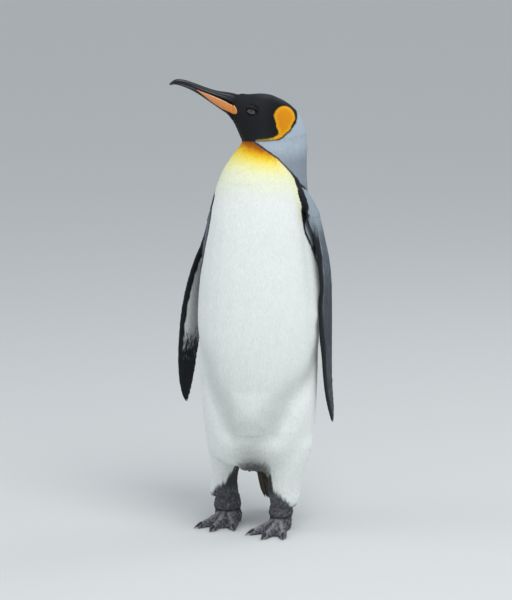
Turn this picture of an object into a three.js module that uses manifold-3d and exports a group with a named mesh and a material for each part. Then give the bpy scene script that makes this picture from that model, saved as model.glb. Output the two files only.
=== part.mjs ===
// King penguin, life size, standing at rest with its head turned to its right.
// Millimetres, +Z up. The bird faces -Y, so its own left side is +X.
import * as THREE from "three";
import { mergeVertices } from "three/addons/utils/BufferGeometryUtils.js";
import Module from "manifold-3d";

const wasm = await Module();
wasm.setup();

// ---------------------------------------------------------------- driving dimensions
const SLIT = 0.4; // width of the thin cuts that part one piece from the next
const HEAD_TURN = 64; // degrees the head looks to the bird's right of straight ahead
const NECK_AXIS = new THREE.Vector2(22, 35); // where the head's upright axis passes
const EYE = { forward: 42.5, height: 840, aside: 21.5, radius: 12 };
const LEGS = {
  // where each ankle stands, degrees the toes point out, and how stout the shank is
  right: { x: -59.5, y: 6, toeOut: 4, girth: 1.07 },
  left: { x: 62.5, y: -28, toeOut: -7, girth: 0.93 },
};
const TOE_SPREAD = { inner: 29, outer: 25 }; // degrees from the middle toe
const TOE_LENGTHS = { inner: 67, middle: 79, outer: 71 };
const CLAW = { length: 21, root: 9, taper: 0.86, narrow: 0.8, height: 8.5, drop: 7, buried: 4 };
const SIDES = { left: 1, right: -1 };

const FEATHER_BLACK = 0x17181c;
const FEATHER_GREY = 0x6f7985;
const FEATHER_WHITE = 0xf2f3f0;
const HORN_BLACK = 0x1a191c;
const HORN_ORANGE = 0xf08f55;
const SCALE_BLACK = 0x2a2829;
const EYE_BROWN = 0x4a3528;

// ---------------------------------------------------------------- solids and surfaces
const rad = THREE.MathUtils.degToRad;

function solidOf(geometry) {
  const bare = geometry.clone();
  bare.deleteAttribute("normal");
  bare.deleteAttribute("uv");
  const merged = mergeVertices(bare, 1e-3);
  return new wasm.Manifold(
    new wasm.Mesh({
      numProp: 3,
      vertProperties: new Float32Array(merged.attributes.position.array),
      triVerts: new Uint32Array(merged.index.array),
    }),
  );
}

function geometryOf(solid) {
  const { numProp, vertProperties, triVerts } = solid.getMesh();
  const points = [];
  for (let i = 0; i < vertProperties.length; i += numProp) {
    points.push(vertProperties[i], vertProperties[i + 1], vertProperties[i + 2]);
  }
  const geometry = new THREE.BufferGeometry();
  geometry.setAttribute("position", new THREE.Float32BufferAttribute(points, 3));
  geometry.setIndex([...triVerts]);
  geometry.computeVertexNormals();
  return geometry;
}

// A closed skin over rings of points, with a fan at each end.
function skinOver(rings) {
  const count = rings[0].length;
  const middle = (ring) =>
    ring.reduce((sum, p) => sum.add(p), new THREE.Vector3()).divideScalar(count);
  const points = [...rings.flat(), middle(rings[0]), middle(rings.at(-1))];
  const first = points.length - 2;
  const last = points.length - 1;
  const lastRing = (rings.length - 1) * count;
  const faces = [];
  for (let i = 0; i < count; i++) {
    const j = (i + 1) % count;
    faces.push(first, j, i, last, lastRing + i, lastRing + j);
    for (let row = 0; row < lastRing; row += count) {
      faces.push(row + i, row + j, row + count + j, row + i, row + count + j, row + count + i);
    }
  }
  const geometry = new THREE.BufferGeometry().setFromPoints(points);
  geometry.setIndex(faces);
  const solid = solidOf(geometry);
  if (solid.volume() > 0) return solid;
  for (let i = 0; i < faces.length; i += 3) {
    [faces[i], faces[i + 1]] = [faces[i + 1], faces[i]];
  }
  return solidOf(geometry.setIndex(faces));
}

// Catmull-Rom through rows of numbers: row i is met at t = i.
function between(rows, t) {
  const i = Math.min(Math.floor(t), rows.length - 2);
  const f = t - i;
  const row = (k) => rows[THREE.MathUtils.clamp(k, 0, rows.length - 1)];
  return row(i).map((here, k) => {
    const [before, next, after] = [row(i - 1)[k], row(i + 1)[k], row(i + 2)[k]];
    const slopeIn = (next - before) / 2;
    const slopeOut = (after - here) / 2;
    const rise = next - here;
    return (
      here +
      f * slopeIn +
      f * f * (3 * rise - 2 * slopeIn - slopeOut) +
      f * f * f * (slopeIn + slopeOut - 2 * rise)
    );
  });
}

// A loft: ringAt turns an interpolated row into a ring of points.
function loft(rows, ringAt, ringCount) {
  const rings = [];
  for (let i = 0; i < ringCount; i++) {
    rings.push(ringAt(between(rows, (i / (ringCount - 1)) * (rows.length - 1))));
  }
  return skinOver(rings);
}

// Points of a rounded outline, as [along, across] from -1 to 1. Over 2, squareness fills the corners.
function roundOutline(count, squareness) {
  const power = 2 / squareness;
  return Array.from({ length: count }, (_, i) => {
    const angle = (2 * Math.PI * (i + 0.5)) / count;
    const bend = (v) => Math.sign(v) * Math.abs(v) ** power;
    return [bend(Math.cos(angle)), bend(Math.sin(angle))];
  });
}

// The upright plane through an axis, turned to the bird's right: [forward, height, aside] to a point.
function inPlane(forward, height, aside, turn, axisX, axisY) {
  const [s, c] = [Math.sin(rad(turn)), Math.cos(rad(turn))];
  return new THREE.Vector3(
    axisX - s * forward + c * aside,
    axisY - c * forward - s * aside,
    height,
  );
}

const inHead = (forward, height, aside) =>
  inPlane(forward, height, aside, HEAD_TURN, NECK_AXIS.x, NECK_AXIS.y);

function boxSolid(width, depth, height, centre, turn = new THREE.Euler()) {
  const geometry = new THREE.BoxGeometry(width, depth, height);
  const place = new THREE.Matrix4().makeRotationFromEuler(turn).setPosition(centre);
  return solidOf(geometry.applyMatrix4(place));
}

// Parts a solid by a thin cut, and gives the half that the normal points to, then the other.
function partedAt(solid, point, normal) {
  const half = 1200;
  const turn = new THREE.Quaternion().setFromUnitVectors(new THREE.Vector3(0, 0, 1), normal);
  const euler = new THREE.Euler().setFromQuaternion(turn);
  const offset = normal.clone().multiplyScalar((half + SLIT) / 2);
  const lower = boxSolid(half, half, half, point.clone().sub(offset), euler);
  const upper = boxSolid(half, half, half, point.clone().add(offset), euler);
  return [solid.intersect(upper), solid.intersect(lower)];
}

// ---------------------------------------------------------------- trunk, neck and head
// One loft from the vent to the bill. Each row: the front (or under) point and the back (or upper)
// point as forward and height in the upright plane, half the width, the plane's turn and its axis.
const BODY = [
  [26, 127, -45, 121, 34, 0, 3, 0],
  [80, 136, -78, 129, 70, 0, 5, 0],
  [116, 162, -98, 152, 99, 0, 10, 0],
  [134, 206, -110, 198, 109.5, 0, 13, 0],
  [145, 272, -117, 266, 114, 0, 13.3, 0],
  [147, 350, -122, 345, 118, 0, 11, 0],
  [142, 430, -125, 426, 121, 0, 10, 0],
  [132, 510, -123, 506, 116, 0, 9, 0],
  [118, 582, -119, 578, 107, 0, 8, 0],
  [106, 640, -112, 643, 98, 3, 8, 2],
  [97, 686, -104, 694, 88, 12, 10, 8],
  [88, 724, -91, 737, 73, 30, 15, 19],
  [70, 756, -82, 767, 56, 50, 20, 30],
  [57.5, 775, -73.5, 792, 45, 62, 22, 35],
  [61.5, 785, -62, 824, 39, 64, 22, 35],
  [66, 796, -41, 848.5, 36, 64, 22, 35],
  [70.5, 806, -13, 864.5, 34, 64, 22, 35],
  [74.5, 815, 15, 870.5, 31, 64, 22, 35],
  [78, 822, 43, 869.6, 26, 64, 22, 35],
  [82, 827, 65, 871, 18.5, 64, 22, 35],
  [86, 831, 80, 872, 12.5, 64, 22, 35],
];
const BODY_RINGS = 46;
const BODY_SEGMENTS = 24;
const ROW_UNDER_CHIN = 13;
const ROW_NECK_BASE = 10.5;

// A row of BODY as a ring, pushed outwards by grow.
function bodyRing([frontS, frontZ, backS, backZ, half, turn, axisX, axisY], grow = 0) {
  const chord = new THREE.Vector2(frontS - backS, frontZ - backZ);
  const reach = chord.length() / 2 + grow;
  chord.normalize();
  const middle = new THREE.Vector2(frontS + backS, frontZ + backZ).divideScalar(2);
  return roundOutline(BODY_SEGMENTS, 2.15).map(([along, across]) =>
    inPlane(
      middle.x + chord.x * reach * along,
      middle.y + chord.y * reach * along,
      (half + grow) * across,
      turn,
      axisX,
      axisY,
    ),
  );
}

const bodySolid = (grow = 0) => loft(BODY, (row) => bodyRing(row, grow), BODY_RINGS);

// The flat plane of one row of BODY: a point on it, and its normal towards the bill.
function planeOfRow(t) {
  const ring = bodyRing(between(BODY, t));
  const third = Math.floor(BODY_SEGMENTS / 3);
  const plane = new THREE.Plane().setFromCoplanarPoints(ring[0], ring[third], ring[2 * third]);
  const ahead = bodyRing(between(BODY, t + 0.5))[0];
  if (plane.distanceToPoint(ahead) < 0) plane.negate();
  return [ring[0], plane.normal];
}

// ---------------------------------------------------------------- bill
// Rows from the gape to the tip, as forward and height in the head's plane: the lower edge, the
// line where the mandibles meet and the ridge, then half the width.
const BILL = [
  [76, 818, 66, 834, 52, 866, 15],
  [87, 831.5, 78, 848, 68, 871, 14],
  [99.9, 840.4, 91.5, 857, 84, 875, 11.5],
  [120.6, 854.9, 114.5, 868.2, 109, 879, 8.8],
  [141.3, 869.5, 136.5, 877.3, 132, 886.5, 6.8],
  [160, 880.5, 157, 885.8, 153, 894.5, 5.4],
  [178, 888.2, 176, 892.3, 173, 901, 4.4],
  [192, 891.8, 191, 894.6, 189.5, 902.2, 3.4],
  [203, 889.6, 202.6, 890.8, 202.2, 895, 1.6],
];
const BILL_RINGS = 15;
const BILL_SEGMENTS = 12;
const BILL_MEETING = 0.5; // gap between the closed mandibles

// Half of a bill section, from its flat edge on the meeting line out to its round edge.
function billRing(meet, far, half, flatness, grow) {
  const chord = far.clone().sub(meet);
  const length = chord.length() + grow;
  chord.normalize();
  return roundOutline(BILL_SEGMENTS, 2.3).map(([along, across]) => {
    const reach = along > 0 ? flatness + (1 - flatness) * along : flatness * (1 + along);
    const lift = BILL_MEETING / 2 - grow + reach * (length - BILL_MEETING / 2 + grow);
    return inHead(meet.x + chord.x * lift, meet.y + chord.y * lift, (half + grow) * across);
  });
}

function upperMandible(grow = 0) {
  return loft(
    BILL,
    ([, , meetS, meetZ, ridgeS, ridgeZ, half]) =>
      billRing(
        new THREE.Vector2(meetS, meetZ),
        new THREE.Vector2(ridgeS, ridgeZ),
        half,
        0.18,
        grow,
      ),
    BILL_RINGS,
  );
}

function lowerMandible(grow = 0) {
  return loft(
    BILL,
    ([lowS, lowZ, meetS, meetZ, , , half]) =>
      billRing(
        new THREE.Vector2(meetS, meetZ),
        new THREE.Vector2(lowS, lowZ),
        half * 0.94,
        0.25,
        grow,
      ),
    BILL_RINGS,
  );
}

// The orange horn plate on each side of the lower mandible, as an outline in the head's plane.
const PLATE_TOP = [
  [71, 839],
  [78, 846.5],
  [90, 854.8],
  [112, 865.5],
  [132, 874],
  [148, 880.5],
];
const PLATE_UNDER = [
  [141, 872],
  [128, 862.8],
  [112, 851.5],
  [98, 841.6],
  [86, 834],
  [76, 831],
  [70.5, 833.5],
];
const PLATE_INSET = 4.2; // the plate's inner face lies this far from the bill's middle
const PLATE_REACH = 30; // past the bill's side, so that its round face bounds the plate

// The room for one plate: the outline run outwards from its inner face.
function plateBlock(side, grow = 0) {
  const corners = [...PLATE_TOP, ...PLATE_UNDER].map(([s, z]) => new THREE.Vector2(s, z));
  const middle = corners
    .reduce((sum, p) => sum.add(p), new THREE.Vector2())
    .divideScalar(corners.length);
  const outline = corners.map((p) => {
    const away = p.clone().sub(middle).normalize();
    return p.clone().addScaledVector(away, grow);
  });
  const geometry = new THREE.ExtrudeGeometry(new THREE.Shape(outline), {
    depth: PLATE_REACH,
    bevelEnabled: false,
  });
  const position = geometry.attributes.position;
  for (let i = 0; i < position.count; i++) {
    const aside = PLATE_INSET - grow + position.getZ(i);
    const point = inHead(position.getX(i), position.getY(i), side * aside);
    position.setXYZ(i, point.x, point.y, point.z);
  }
  const order = [...Array(position.count).keys()];
  return solidOf(geometry.setIndex(side > 0 ? order.reverse() : order));
}

// ---------------------------------------------------------------- flippers
// Rows from the shoulder to the tip: the leading edge's place out from the trunk's middle, forward
// and up, the chord, the chord's turn inwards and the thickness.
const FLIPPERS = {
  left: [
    [72, 20, 704, 42, 0, 18],
    [96, 25, 670, 58, 0, 24],
    [111, 26, 636, 68, 0, 25],
    [119.5, 26, 592, 75, 0, 21],
    [129, 26, 545, 77, -1, 17],
    [133, 25, 500, 76, -2, 15],
    [133.5, 24, 448, 74, -3, 14],
    [134, 20, 400, 70, -3, 13],
    [134.5, 16, 357, 65, -3, 11.5],
    [135, 10, 316, 57, -4, 10],
    [137, 3, 278, 46, -6, 8.5],
    [141, -3, 249, 34, -8, 7],
    [144.5, -9, 228, 20, -10, 5],
    [147, -13, 218, 8, -10, 3.5],
  ],
  right: [
    [68, 20, 700, 42, 4, 18],
    [86, 24, 664, 58, 8, 24],
    [97, 25, 625, 68, 12, 24],
    [110, 25, 579, 75, 17, 20],
    [127, 25, 542, 77, 20, 17],
    [141, 25, 501, 77, 21, 15],
    [151, 25, 461, 75, 22, 14],
    [158, 24, 420, 72, 22, 13],
    [162.5, 22, 378, 69, 22, 12],
    [166.5, 16, 335, 62, 22.5, 10.5],
    [167.5, 9, 297, 51, 22.5, 9],
    [165, 2, 268, 36, 20, 7],
    [161.5, -5, 251, 20, 17, 5],
    [159, -10, 244, 8, 15, 3.5],
  ],
};
const FLIPPER_RINGS = 21;
const FLIPPER_SEGMENTS = 12;
const FLIPPER_MIDDLE = 9; // the trunk's middle lies this far to the bird's left
const FLIPPER_TAPER = 0.62; // how much thinner the trailing edge is than the leading one

function flipper(name) {
  return loft(
    FLIPPERS[name],
    ([out, ahead, height, chord, turn, thick]) =>
      Array.from({ length: FLIPPER_SEGMENTS }, (_, i) => {
        const angle = (2 * Math.PI * (i + 0.5)) / FLIPPER_SEGMENTS;
        const along = (1 - Math.cos(angle)) / 2;
        const across = (thick / 2) * Math.sin(angle) * (1 - FLIPPER_TAPER * along);
        const [s, c] = [Math.sin(rad(turn)), Math.cos(rad(turn))];
        const outwards = out - s * chord * along + c * across;
        const back = -ahead + c * chord * along + s * across;
        return new THREE.Vector3(FLIPPER_MIDDLE + SIDES[name] * outwards, back, height);
      }),
    FLIPPER_RINGS,
  );
}

// ---------------------------------------------------------------- legs
// Rows down each feathered leg: how far out and back from the ankle its middle lies, its height
// and half its width and depth.
const LEG = {
  left: [
    [-1, 12, 250, 40, 50],
    [14, 8, 195, 49, 58],
    [12, 4, 150, 46, 54],
    [8.5, 2, 113, 38, 44],
    [6.5, 0, 84, 32.5, 36],
    [6.5, 0, 62, 29, 31],
    [6.5, 0, 52, 26, 28],
  ],
  right: [
    [-10.5, 12, 250, 38, 50],
    [-1.5, 8, 195, 48, 58],
    [-1.5, 4, 150, 42, 54],
    [4.5, 2, 113, 28.5, 42],
    [7, 0, 84, 26, 35],
    [7, 0, 64, 28, 31],
    [7, 0, 56, 26, 28],
  ],
};
const LEG_RINGS = 10;
const LEG_SEGMENTS = 16;

function leg(name, grow = 0) {
  const { x, y } = LEGS[name];
  return loft(
    LEG[name],
    ([outwards, back, height, halfWidth, halfDepth]) =>
      roundOutline(LEG_SEGMENTS, 2.1).map(
        ([along, across]) =>
          new THREE.Vector3(
            x + SIDES[name] * outwards + (halfWidth + grow) * across,
            y + back + (halfDepth + grow) * along,
            height,
          ),
      ),
    LEG_RINGS,
  );
}

// ---------------------------------------------------------------- feet
// Rows down the bare shank: how far back from the ankle's middle, height, half width and depth.
const SHANK = [
  [0, 60, 21, 22],
  [0, 48, 24, 25],
  [-1, 36, 25, 26],
  [-2, 24, 24, 27],
  [0, 10, 22, 30],
  [2, -4, 20, 30],
];
// Along a toe from the shank's middle: how far out as a share of its length, height, half width.
const TOE = [
  [0.0, 31, 13],
  [0.25, 27, 12.5],
  [0.5, 21, 11],
  [0.75, 16.5, 10],
  [0.92, 14, 9.5],
  [1.0, 12, 8],
  [1.08, 8, 5],
];
const TOE_ROOT = 8; // the toes start this far in front of the shank's middle
const SOLE_DEPTH = 2; // of the toes' round undersides, cut off flat at the floor
const WEB_HEIGHT = 6;
const WEB_REACH = 0.86; // the web's corners on the toes, as a share of their length

const toeAngles = (side) => ({
  inner: -side * TOE_SPREAD.inner,
  middle: 0,
  outer: side * TOE_SPREAD.outer,
});

// A place on the foot: out along a direction from the shank, across it and up.
function onFoot({ x, y, toeOut }, side, angle, out, across, height) {
  const heading = rad(angle + side * toeOut);
  const [s, c] = [Math.sin(heading), Math.cos(heading)];
  return new THREE.Vector3(x + s * out + c * across, y - c * out + s * across, height);
}

function shank({ x, y, girth }, grow = 0) {
  return loft(
    SHANK,
    ([back, height, halfWidth, halfDepth]) =>
      roundOutline(14, 2.3).map(
        ([along, across]) =>
          new THREE.Vector3(
            x + (halfWidth * girth + grow) * across,
            y + back + (halfDepth + grow) * along,
            height + grow,
          ),
      ),
    9,
  );
}

function toe(place, side, name) {
  const length = TOE_LENGTHS[name];
  return loft(
    TOE,
    ([share, height, half]) =>
      roundOutline(8, 2.2).map(([along, across]) =>
        onFoot(
          place,
          side,
          toeAngles(side)[name],
          TOE_ROOT + share * length,
          half * across,
          (height / 2) * (along + 1) - SOLE_DEPTH,
        ),
      ),
    7,
  );
}

// The web fills the angle between two toes, and its front edge curves in.
function web(place, side, names) {
  const edge = names.map((name) =>
    onFoot(place, side, toeAngles(side)[name], TOE_ROOT + WEB_REACH * TOE_LENGTHS[name], 0, 0),
  );
  const root = onFoot(place, side, 0, 0, 0, 0);
  const inwards = edge[0].clone().add(edge[1]).divideScalar(2).lerp(root, 0.2);
  const shape = new THREE.Shape([new THREE.Vector2(root.x, root.y)]);
  shape.lineTo(edge[0].x, edge[0].y);
  shape.quadraticCurveTo(inwards.x, inwards.y, edge[1].x, edge[1].y);
  shape.closePath();
  return solidOf(
    new THREE.ExtrudeGeometry(shape, { depth: WEB_HEIGHT, curveSegments: 8, bevelEnabled: false }),
  );
}

// A claw: a cone that curves down to the ground from inside the toe's end.
function claw(place, side, name, grow = 0) {
  const start = TOE_ROOT + TOE_LENGTHS[name] - CLAW.buried;
  const rows = [0, 0.3, 0.6, 0.85, 1].map((share) => [
    start + share * CLAW.length,
    CLAW.height - CLAW.drop * share * share,
    (CLAW.root / 2) * (1 - CLAW.taper * share),
  ]);
  return loft(
    rows,
    ([out, height, half]) =>
      roundOutline(8, 2).map(([along, across]) =>
        onFoot(
          place,
          side,
          toeAngles(side)[name],
          out,
          (half + grow) * CLAW.narrow * across,
          height + (half + grow) * along,
        ),
      ),
    6,
  );
}

// ---------------------------------------------------------------- tail
// Rows down the stiff tail: how far back, height, half its width and half its thickness.
const TAIL = [
  [72, 150, 34, 13],
  [92, 118, 34, 12],
  [108, 90, 31, 10],
  [121, 62, 27, 8],
  [131, 38, 21, 5.5],
  [138, 20, 12, 3],
];

const TAIL_MIDDLE = 4; // the tail lies this far to the bird's left
const TAIL_LEAN = new THREE.Vector2(0.93, 0.37); // across the tail's thickness: back and up

function tail() {
  return loft(
    TAIL,
    ([back, height, halfWidth, halfThick]) =>
      roundOutline(14, 2.1).map(
        ([along, across]) =>
          new THREE.Vector3(
            TAIL_MIDDLE + halfWidth * across,
            back + TAIL_LEAN.x * halfThick * along,
            height + TAIL_LEAN.y * halfThick * along,
          ),
      ),
    8,
  );
}

// ---------------------------------------------------------------- assembly
const penguin = new THREE.Group();

function addPiece(name, solid, color, roughness) {
  const material = new THREE.MeshStandardMaterial({ color, roughness, metalness: 0 });
  const mesh = new THREE.Mesh(geometryOf(solid), material);
  mesh.name = name;
  penguin.add(mesh);
}

// Drops crumbs that a cut leaves beside the piece itself.
const mainPiece = (solid) =>
  solid.decompose().reduce((best, next) => (next.volume() > best.volume() ? next : best));

const floorBlock = boxSolid(900, 900, 100, new THREE.Vector3(0, 0, -50)); // all below the floor
const wholeBody = bodySolid();
const wholeBodyGrown = bodySolid(SLIT);
const [headBlank, belowHead] = partedAt(wholeBody, ...planeOfRow(ROW_UNDER_CHIN));
const [neck, trunkBlank] = partedAt(belowHead, ...planeOfRow(ROW_NECK_BASE));

// Head, with a socket for each eyeball and a seat for the bill.
let head = headBlank.subtract(upperMandible(SLIT)).subtract(lowerMandible(SLIT));
for (const [name, side] of Object.entries(SIDES)) {
  const centre = inHead(EYE.forward, EYE.height, side * EYE.aside);
  const ball = (radius) =>
    solidOf(new THREE.SphereGeometry(radius, 12, 8).translate(centre.x, centre.y, centre.z));
  head = head.subtract(ball(EYE.radius + SLIT));
  addPiece(`eye_${name}`, ball(EYE.radius), EYE_BROWN, 0.1);
}
addPiece("head", mainPiece(head), FEATHER_BLACK, 0.7);
addPiece("neck", mainPiece(neck), FEATHER_GREY, 0.7);
addPiece("bill_upper", upperMandible(), HORN_BLACK, 0.35);

// Lower mandible, with a recess for the horn plate on each side.
const lower = lowerMandible();
let lowerCore = lower;
for (const [name, side] of Object.entries(SIDES)) {
  const plate = lower.intersect(plateBlock(side));
  lowerCore = lowerCore.subtract(plateBlock(side, SLIT));
  addPiece(`bill_plate_${name}`, mainPiece(plate), HORN_ORANGE, 0.35);
}
addPiece("bill_lower", mainPiece(lowerCore), HORN_BLACK, 0.35);

// Trunk, with the legs and tail let into it.
let trunk = trunkBlank;
let tailPiece = tail().subtract(wholeBodyGrown);
for (const name of Object.keys(LEGS)) {
  trunk = trunk.subtract(leg(name, SLIT));
  tailPiece = tailPiece.subtract(leg(name, SLIT));
}
addPiece("trunk", mainPiece(trunk), FEATHER_WHITE, 0.7);
addPiece("tail", mainPiece(tailPiece), FEATHER_BLACK, 0.7);

for (const [name, side] of Object.entries(SIDES)) {
  const place = LEGS[name];
  addPiece(`flipper_${name}`, mainPiece(flipper(name).subtract(wholeBodyGrown)), FEATHER_GREY, 0.6);

  let foot = shank(place);
  for (const toeName of Object.keys(TOE_LENGTHS)) foot = foot.add(toe(place, side, toeName));
  foot = foot.add(web(place, side, ["inner", "middle"])).add(web(place, side, ["middle", "outer"]));
  foot = foot.subtract(floorBlock);
  for (const toeName of Object.keys(TOE_LENGTHS)) {
    const horn = claw(place, side, toeName).subtract(floorBlock);
    foot = foot.subtract(claw(place, side, toeName, SLIT));
    addPiece(`claw_${name}_${toeName}`, mainPiece(horn), HORN_BLACK, 0.4);
  }
  addPiece(`foot_${name}`, mainPiece(foot), SCALE_BLACK, 0.7);
  addPiece(`leg_${name}`, mainPiece(leg(name).subtract(shank(place, SLIT))), FEATHER_WHITE, 0.7);
}

// The origin is on the floor, under the middle of the whole bird's box.
const box = new THREE.Box3().setFromObject(penguin);
const middle = box.getCenter(new THREE.Vector3());
penguin.position.set(-middle.x, -middle.y, -box.min.z);

export default penguin;
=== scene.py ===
"""A life-size still model of a king penguin: one skin, a coat of solid vanes, bill, eyes and feet."""

import math

import bmesh
import bpy
import numpy as np
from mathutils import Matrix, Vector, noise
from mathutils.bvhtree import BVHTree


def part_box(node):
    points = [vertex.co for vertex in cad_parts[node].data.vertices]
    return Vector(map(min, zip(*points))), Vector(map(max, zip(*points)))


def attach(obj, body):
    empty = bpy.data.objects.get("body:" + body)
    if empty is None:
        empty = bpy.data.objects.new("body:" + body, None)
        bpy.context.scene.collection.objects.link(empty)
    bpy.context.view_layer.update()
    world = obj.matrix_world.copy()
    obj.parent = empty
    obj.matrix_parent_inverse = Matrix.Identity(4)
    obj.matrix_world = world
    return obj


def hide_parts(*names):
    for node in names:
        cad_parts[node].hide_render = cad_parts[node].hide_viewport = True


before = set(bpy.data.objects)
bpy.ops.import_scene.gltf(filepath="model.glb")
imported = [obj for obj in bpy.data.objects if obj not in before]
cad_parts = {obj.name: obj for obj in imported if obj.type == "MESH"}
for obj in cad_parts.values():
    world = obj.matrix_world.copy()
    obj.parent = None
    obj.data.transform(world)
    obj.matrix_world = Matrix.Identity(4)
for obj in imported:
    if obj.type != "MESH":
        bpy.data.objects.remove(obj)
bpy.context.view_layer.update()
MM = 0.001


# ---------------------------------------------------------------- bearings on the bird
# A mounter marks the bird's own directions before anything is dressed: where the head looks, the
# upright axis of the neck and the axis of the trunk. Every marking and fold is placed from these.
def node_middle(name):
    low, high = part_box(name)
    return (np.array(low) + np.array(high)) / 2


EYE_AHEAD = 42.5 * MM  # the eyes lie this far ahead of the neck's axis
TRUNK_AXIS_BACK = 11 * MM  # the breast is fuller than the back, so the axis is behind the middle
eyes_middle = (node_middle("eye_left") + node_middle("eye_right")) / 2
head_left = node_middle("eye_left") - node_middle("eye_right")
head_left /= np.linalg.norm(head_left)
head_ahead = np.array([head_left[1], -head_left[0], 0.0])
neck_axis = (eyes_middle - EYE_AHEAD * head_ahead) * [1, 1, 0]
stance = neck_axis - [22 * MM, 35 * MM, 0]  # the point of the floor below the trunk
ankles = {"left": stance + [62.5 * MM, -28 * MM, 0], "right": stance + [-59.5 * MM, 6 * MM, 0]}
trunk_axis = (node_middle("trunk") + [-MM, TRUNK_AXIS_BACK, 0]) * [1, 1, 0]
head_turn = math.degrees(math.atan2(-head_ahead[0], -head_ahead[1]))


def ease(low, high, values):
    """From 0 at low to 1 at high, starting and ending gently."""
    share = np.clip((np.asarray(values, float) - low) / (high - low), 0, 1)
    return share * share * (3 - 2 * share)


def between(start, full, last, end, values):
    """Rises gently from 0 at start to 1 at full, and falls back from last to 0 at end."""
    return ease(start, full, values) * ease(end, last, values)


def in_head(points):
    """How far ahead of the neck's axis, how high and how far to the head's left points lie."""
    away = points - neck_axis
    return away @ head_ahead, points[:, 2], away @ head_left


def round_trunk(points):
    """Bearing round the body in degrees, 0 ahead and + to the left, and the distance from its axis.
    Up the neck the axis moves and turns with the head."""
    rise = ease(0.65, 0.80, points[:, 2])
    away = points - trunk_axis - rise[:, None] * (neck_axis - trunk_axis)
    bearing = np.degrees(np.arctan2(away[:, 0], -away[:, 1])) + rise * head_turn
    return (bearing + 180) % 360 - 180, np.hypot(away[:, 0], away[:, 1])


# ---------------------------------------------------------------- skin
# One skin runs over head, neck, trunk, tail, flippers, legs and feet, with no seam. It is remeshed
# from the solids of those parts, and lies inside them by the depth of the feathers. It carries the
# folds between belly and thighs, and the bare black skin of the feet.
FLESH = ["head", "neck", "trunk", "tail", "flipper_left", "flipper_right"]
FLESH += ["leg_left", "leg_right", "foot_left", "foot_right"]
CUT_OVERLAP = 0.35 * MM  # each piece is swollen by this, which closes the thin cuts
SKIN_GRAIN = 1.8 * MM  # the remesh's step
SKIN_TRIANGLES = 185000
# How deep the feathers lie over each part in mm, and how strongly its surface is smoothed.
FEATHER_DEPTH = {"head": 1.0, "neck": 1.9, "trunk": 2.3, "tail": 2.5, "flipper": 0.6, "leg": 2.0}
SMOOTHING = {"head": 0.16, "neck": 0.5, "trunk": 0.5, "tail": 0.1, "flipper": 0.05, "leg": 0.4, "foot": 0.03}
SMOOTHING_ROUNDS = 70
CROWN_LIFT = 1.7 * MM
FLIPPER_CLOSE, FLIPPER_APART = 3.4 * MM, 2.2 * MM  # inwards low down, and outwards below the shoulder
FLANK_SWELL = 6 * MM
GROIN_ROUNDS, SHOULDER_ROUNDS = 220, 130  # of smoothing, where two parts run into each other


def shape_of(obj):
    """The object's mesh with its modifiers worked in."""
    graph = bpy.context.evaluated_depsgraph_get()
    return bpy.data.meshes.new_from_object(
        obj.evaluated_get(graph), preserve_all_data_layers=True, depsgraph=graph
    )


def worked(obj, kind, **settings):
    """Applies one modifier to an object and keeps the result as its mesh."""
    modifier = obj.modifiers.new(kind.lower(), kind)
    for name, value in settings.items():
        setattr(modifier, name, value)
    mesh = shape_of(obj)
    obj.modifiers.clear()
    obj.data = mesh
    return mesh


def new_piece(name, mesh):
    piece = bpy.data.objects.new(name, mesh)
    bpy.context.scene.collection.objects.link(piece)
    return piece


def merged_copy(name, nodes, swell=0.0):
    """One object from copies of CAD nodes, with shared corners and swollen a little."""
    copy = bmesh.new()
    for node in nodes:
        copy.from_mesh(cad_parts[node].data)
    bmesh.ops.remove_doubles(copy, verts=copy.verts, dist=MM / 1000)
    copy.normal_update()
    for vertex in copy.verts:
        vertex.co += vertex.normal * swell
    mesh = bpy.data.meshes.new(name)
    copy.to_mesh(mesh)
    copy.free()
    return new_piece(name, mesh)


def read(items, name, width):
    values = np.empty(len(items) * width, np.float32)
    items.foreach_get(name, values)
    return values.reshape(-1, width).astype(float)


def corners_of(mesh):
    return read(mesh.vertices, "co", 3)


def move_corners(mesh, points):
    mesh.vertices.foreach_set("co", points.astype(np.float32).ravel())
    mesh.update()


def edges_of(mesh):
    ends = np.empty(len(mesh.edges) * 2, np.int32)
    mesh.edges.foreach_get("vertices", ends)
    return ends.reshape(-1, 2)


def settled(values, ends, pull, rounds):
    """Draws each value towards the mean of its neighbours, as far as its pull says."""
    count = len(values)
    one, two = ends[:, 0], ends[:, 1]
    degree = np.bincount(ends.ravel(), minlength=count)[:, None]
    for _ in range(rounds):
        near = [
            np.bincount(one, column[two], count) + np.bincount(two, column[one], count)
            for column in values.T
        ]
        values = values + pull[:, None] * (np.stack(near, 1) / degree - values)
    return values


def surface_of(nodes):
    """A search tree over CAD nodes, and which node each of its faces is from."""
    points, faces, owner = [], [], []
    for number, node in enumerate(nodes):
        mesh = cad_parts[node].data
        faces += [[len(points) + i for i in face.vertices] for face in mesh.polygons]
        points += [tuple(vertex.co) for vertex in mesh.vertices]
        owner += [number] * len(mesh.polygons)
    return BVHTree.FromPolygons(points, faces), np.array(owner)


def nearest_flesh(points):
    tree, owner = surface_of(FLESH)
    return owner[[tree.find_nearest(point)[2] for point in points]]


def by_part(part, table, default=0.0):
    """A value for each point from a table of the body's parts."""
    values = [table.get(node.split("_")[0], default) for node in FLESH]
    return np.array(values)[part]


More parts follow.
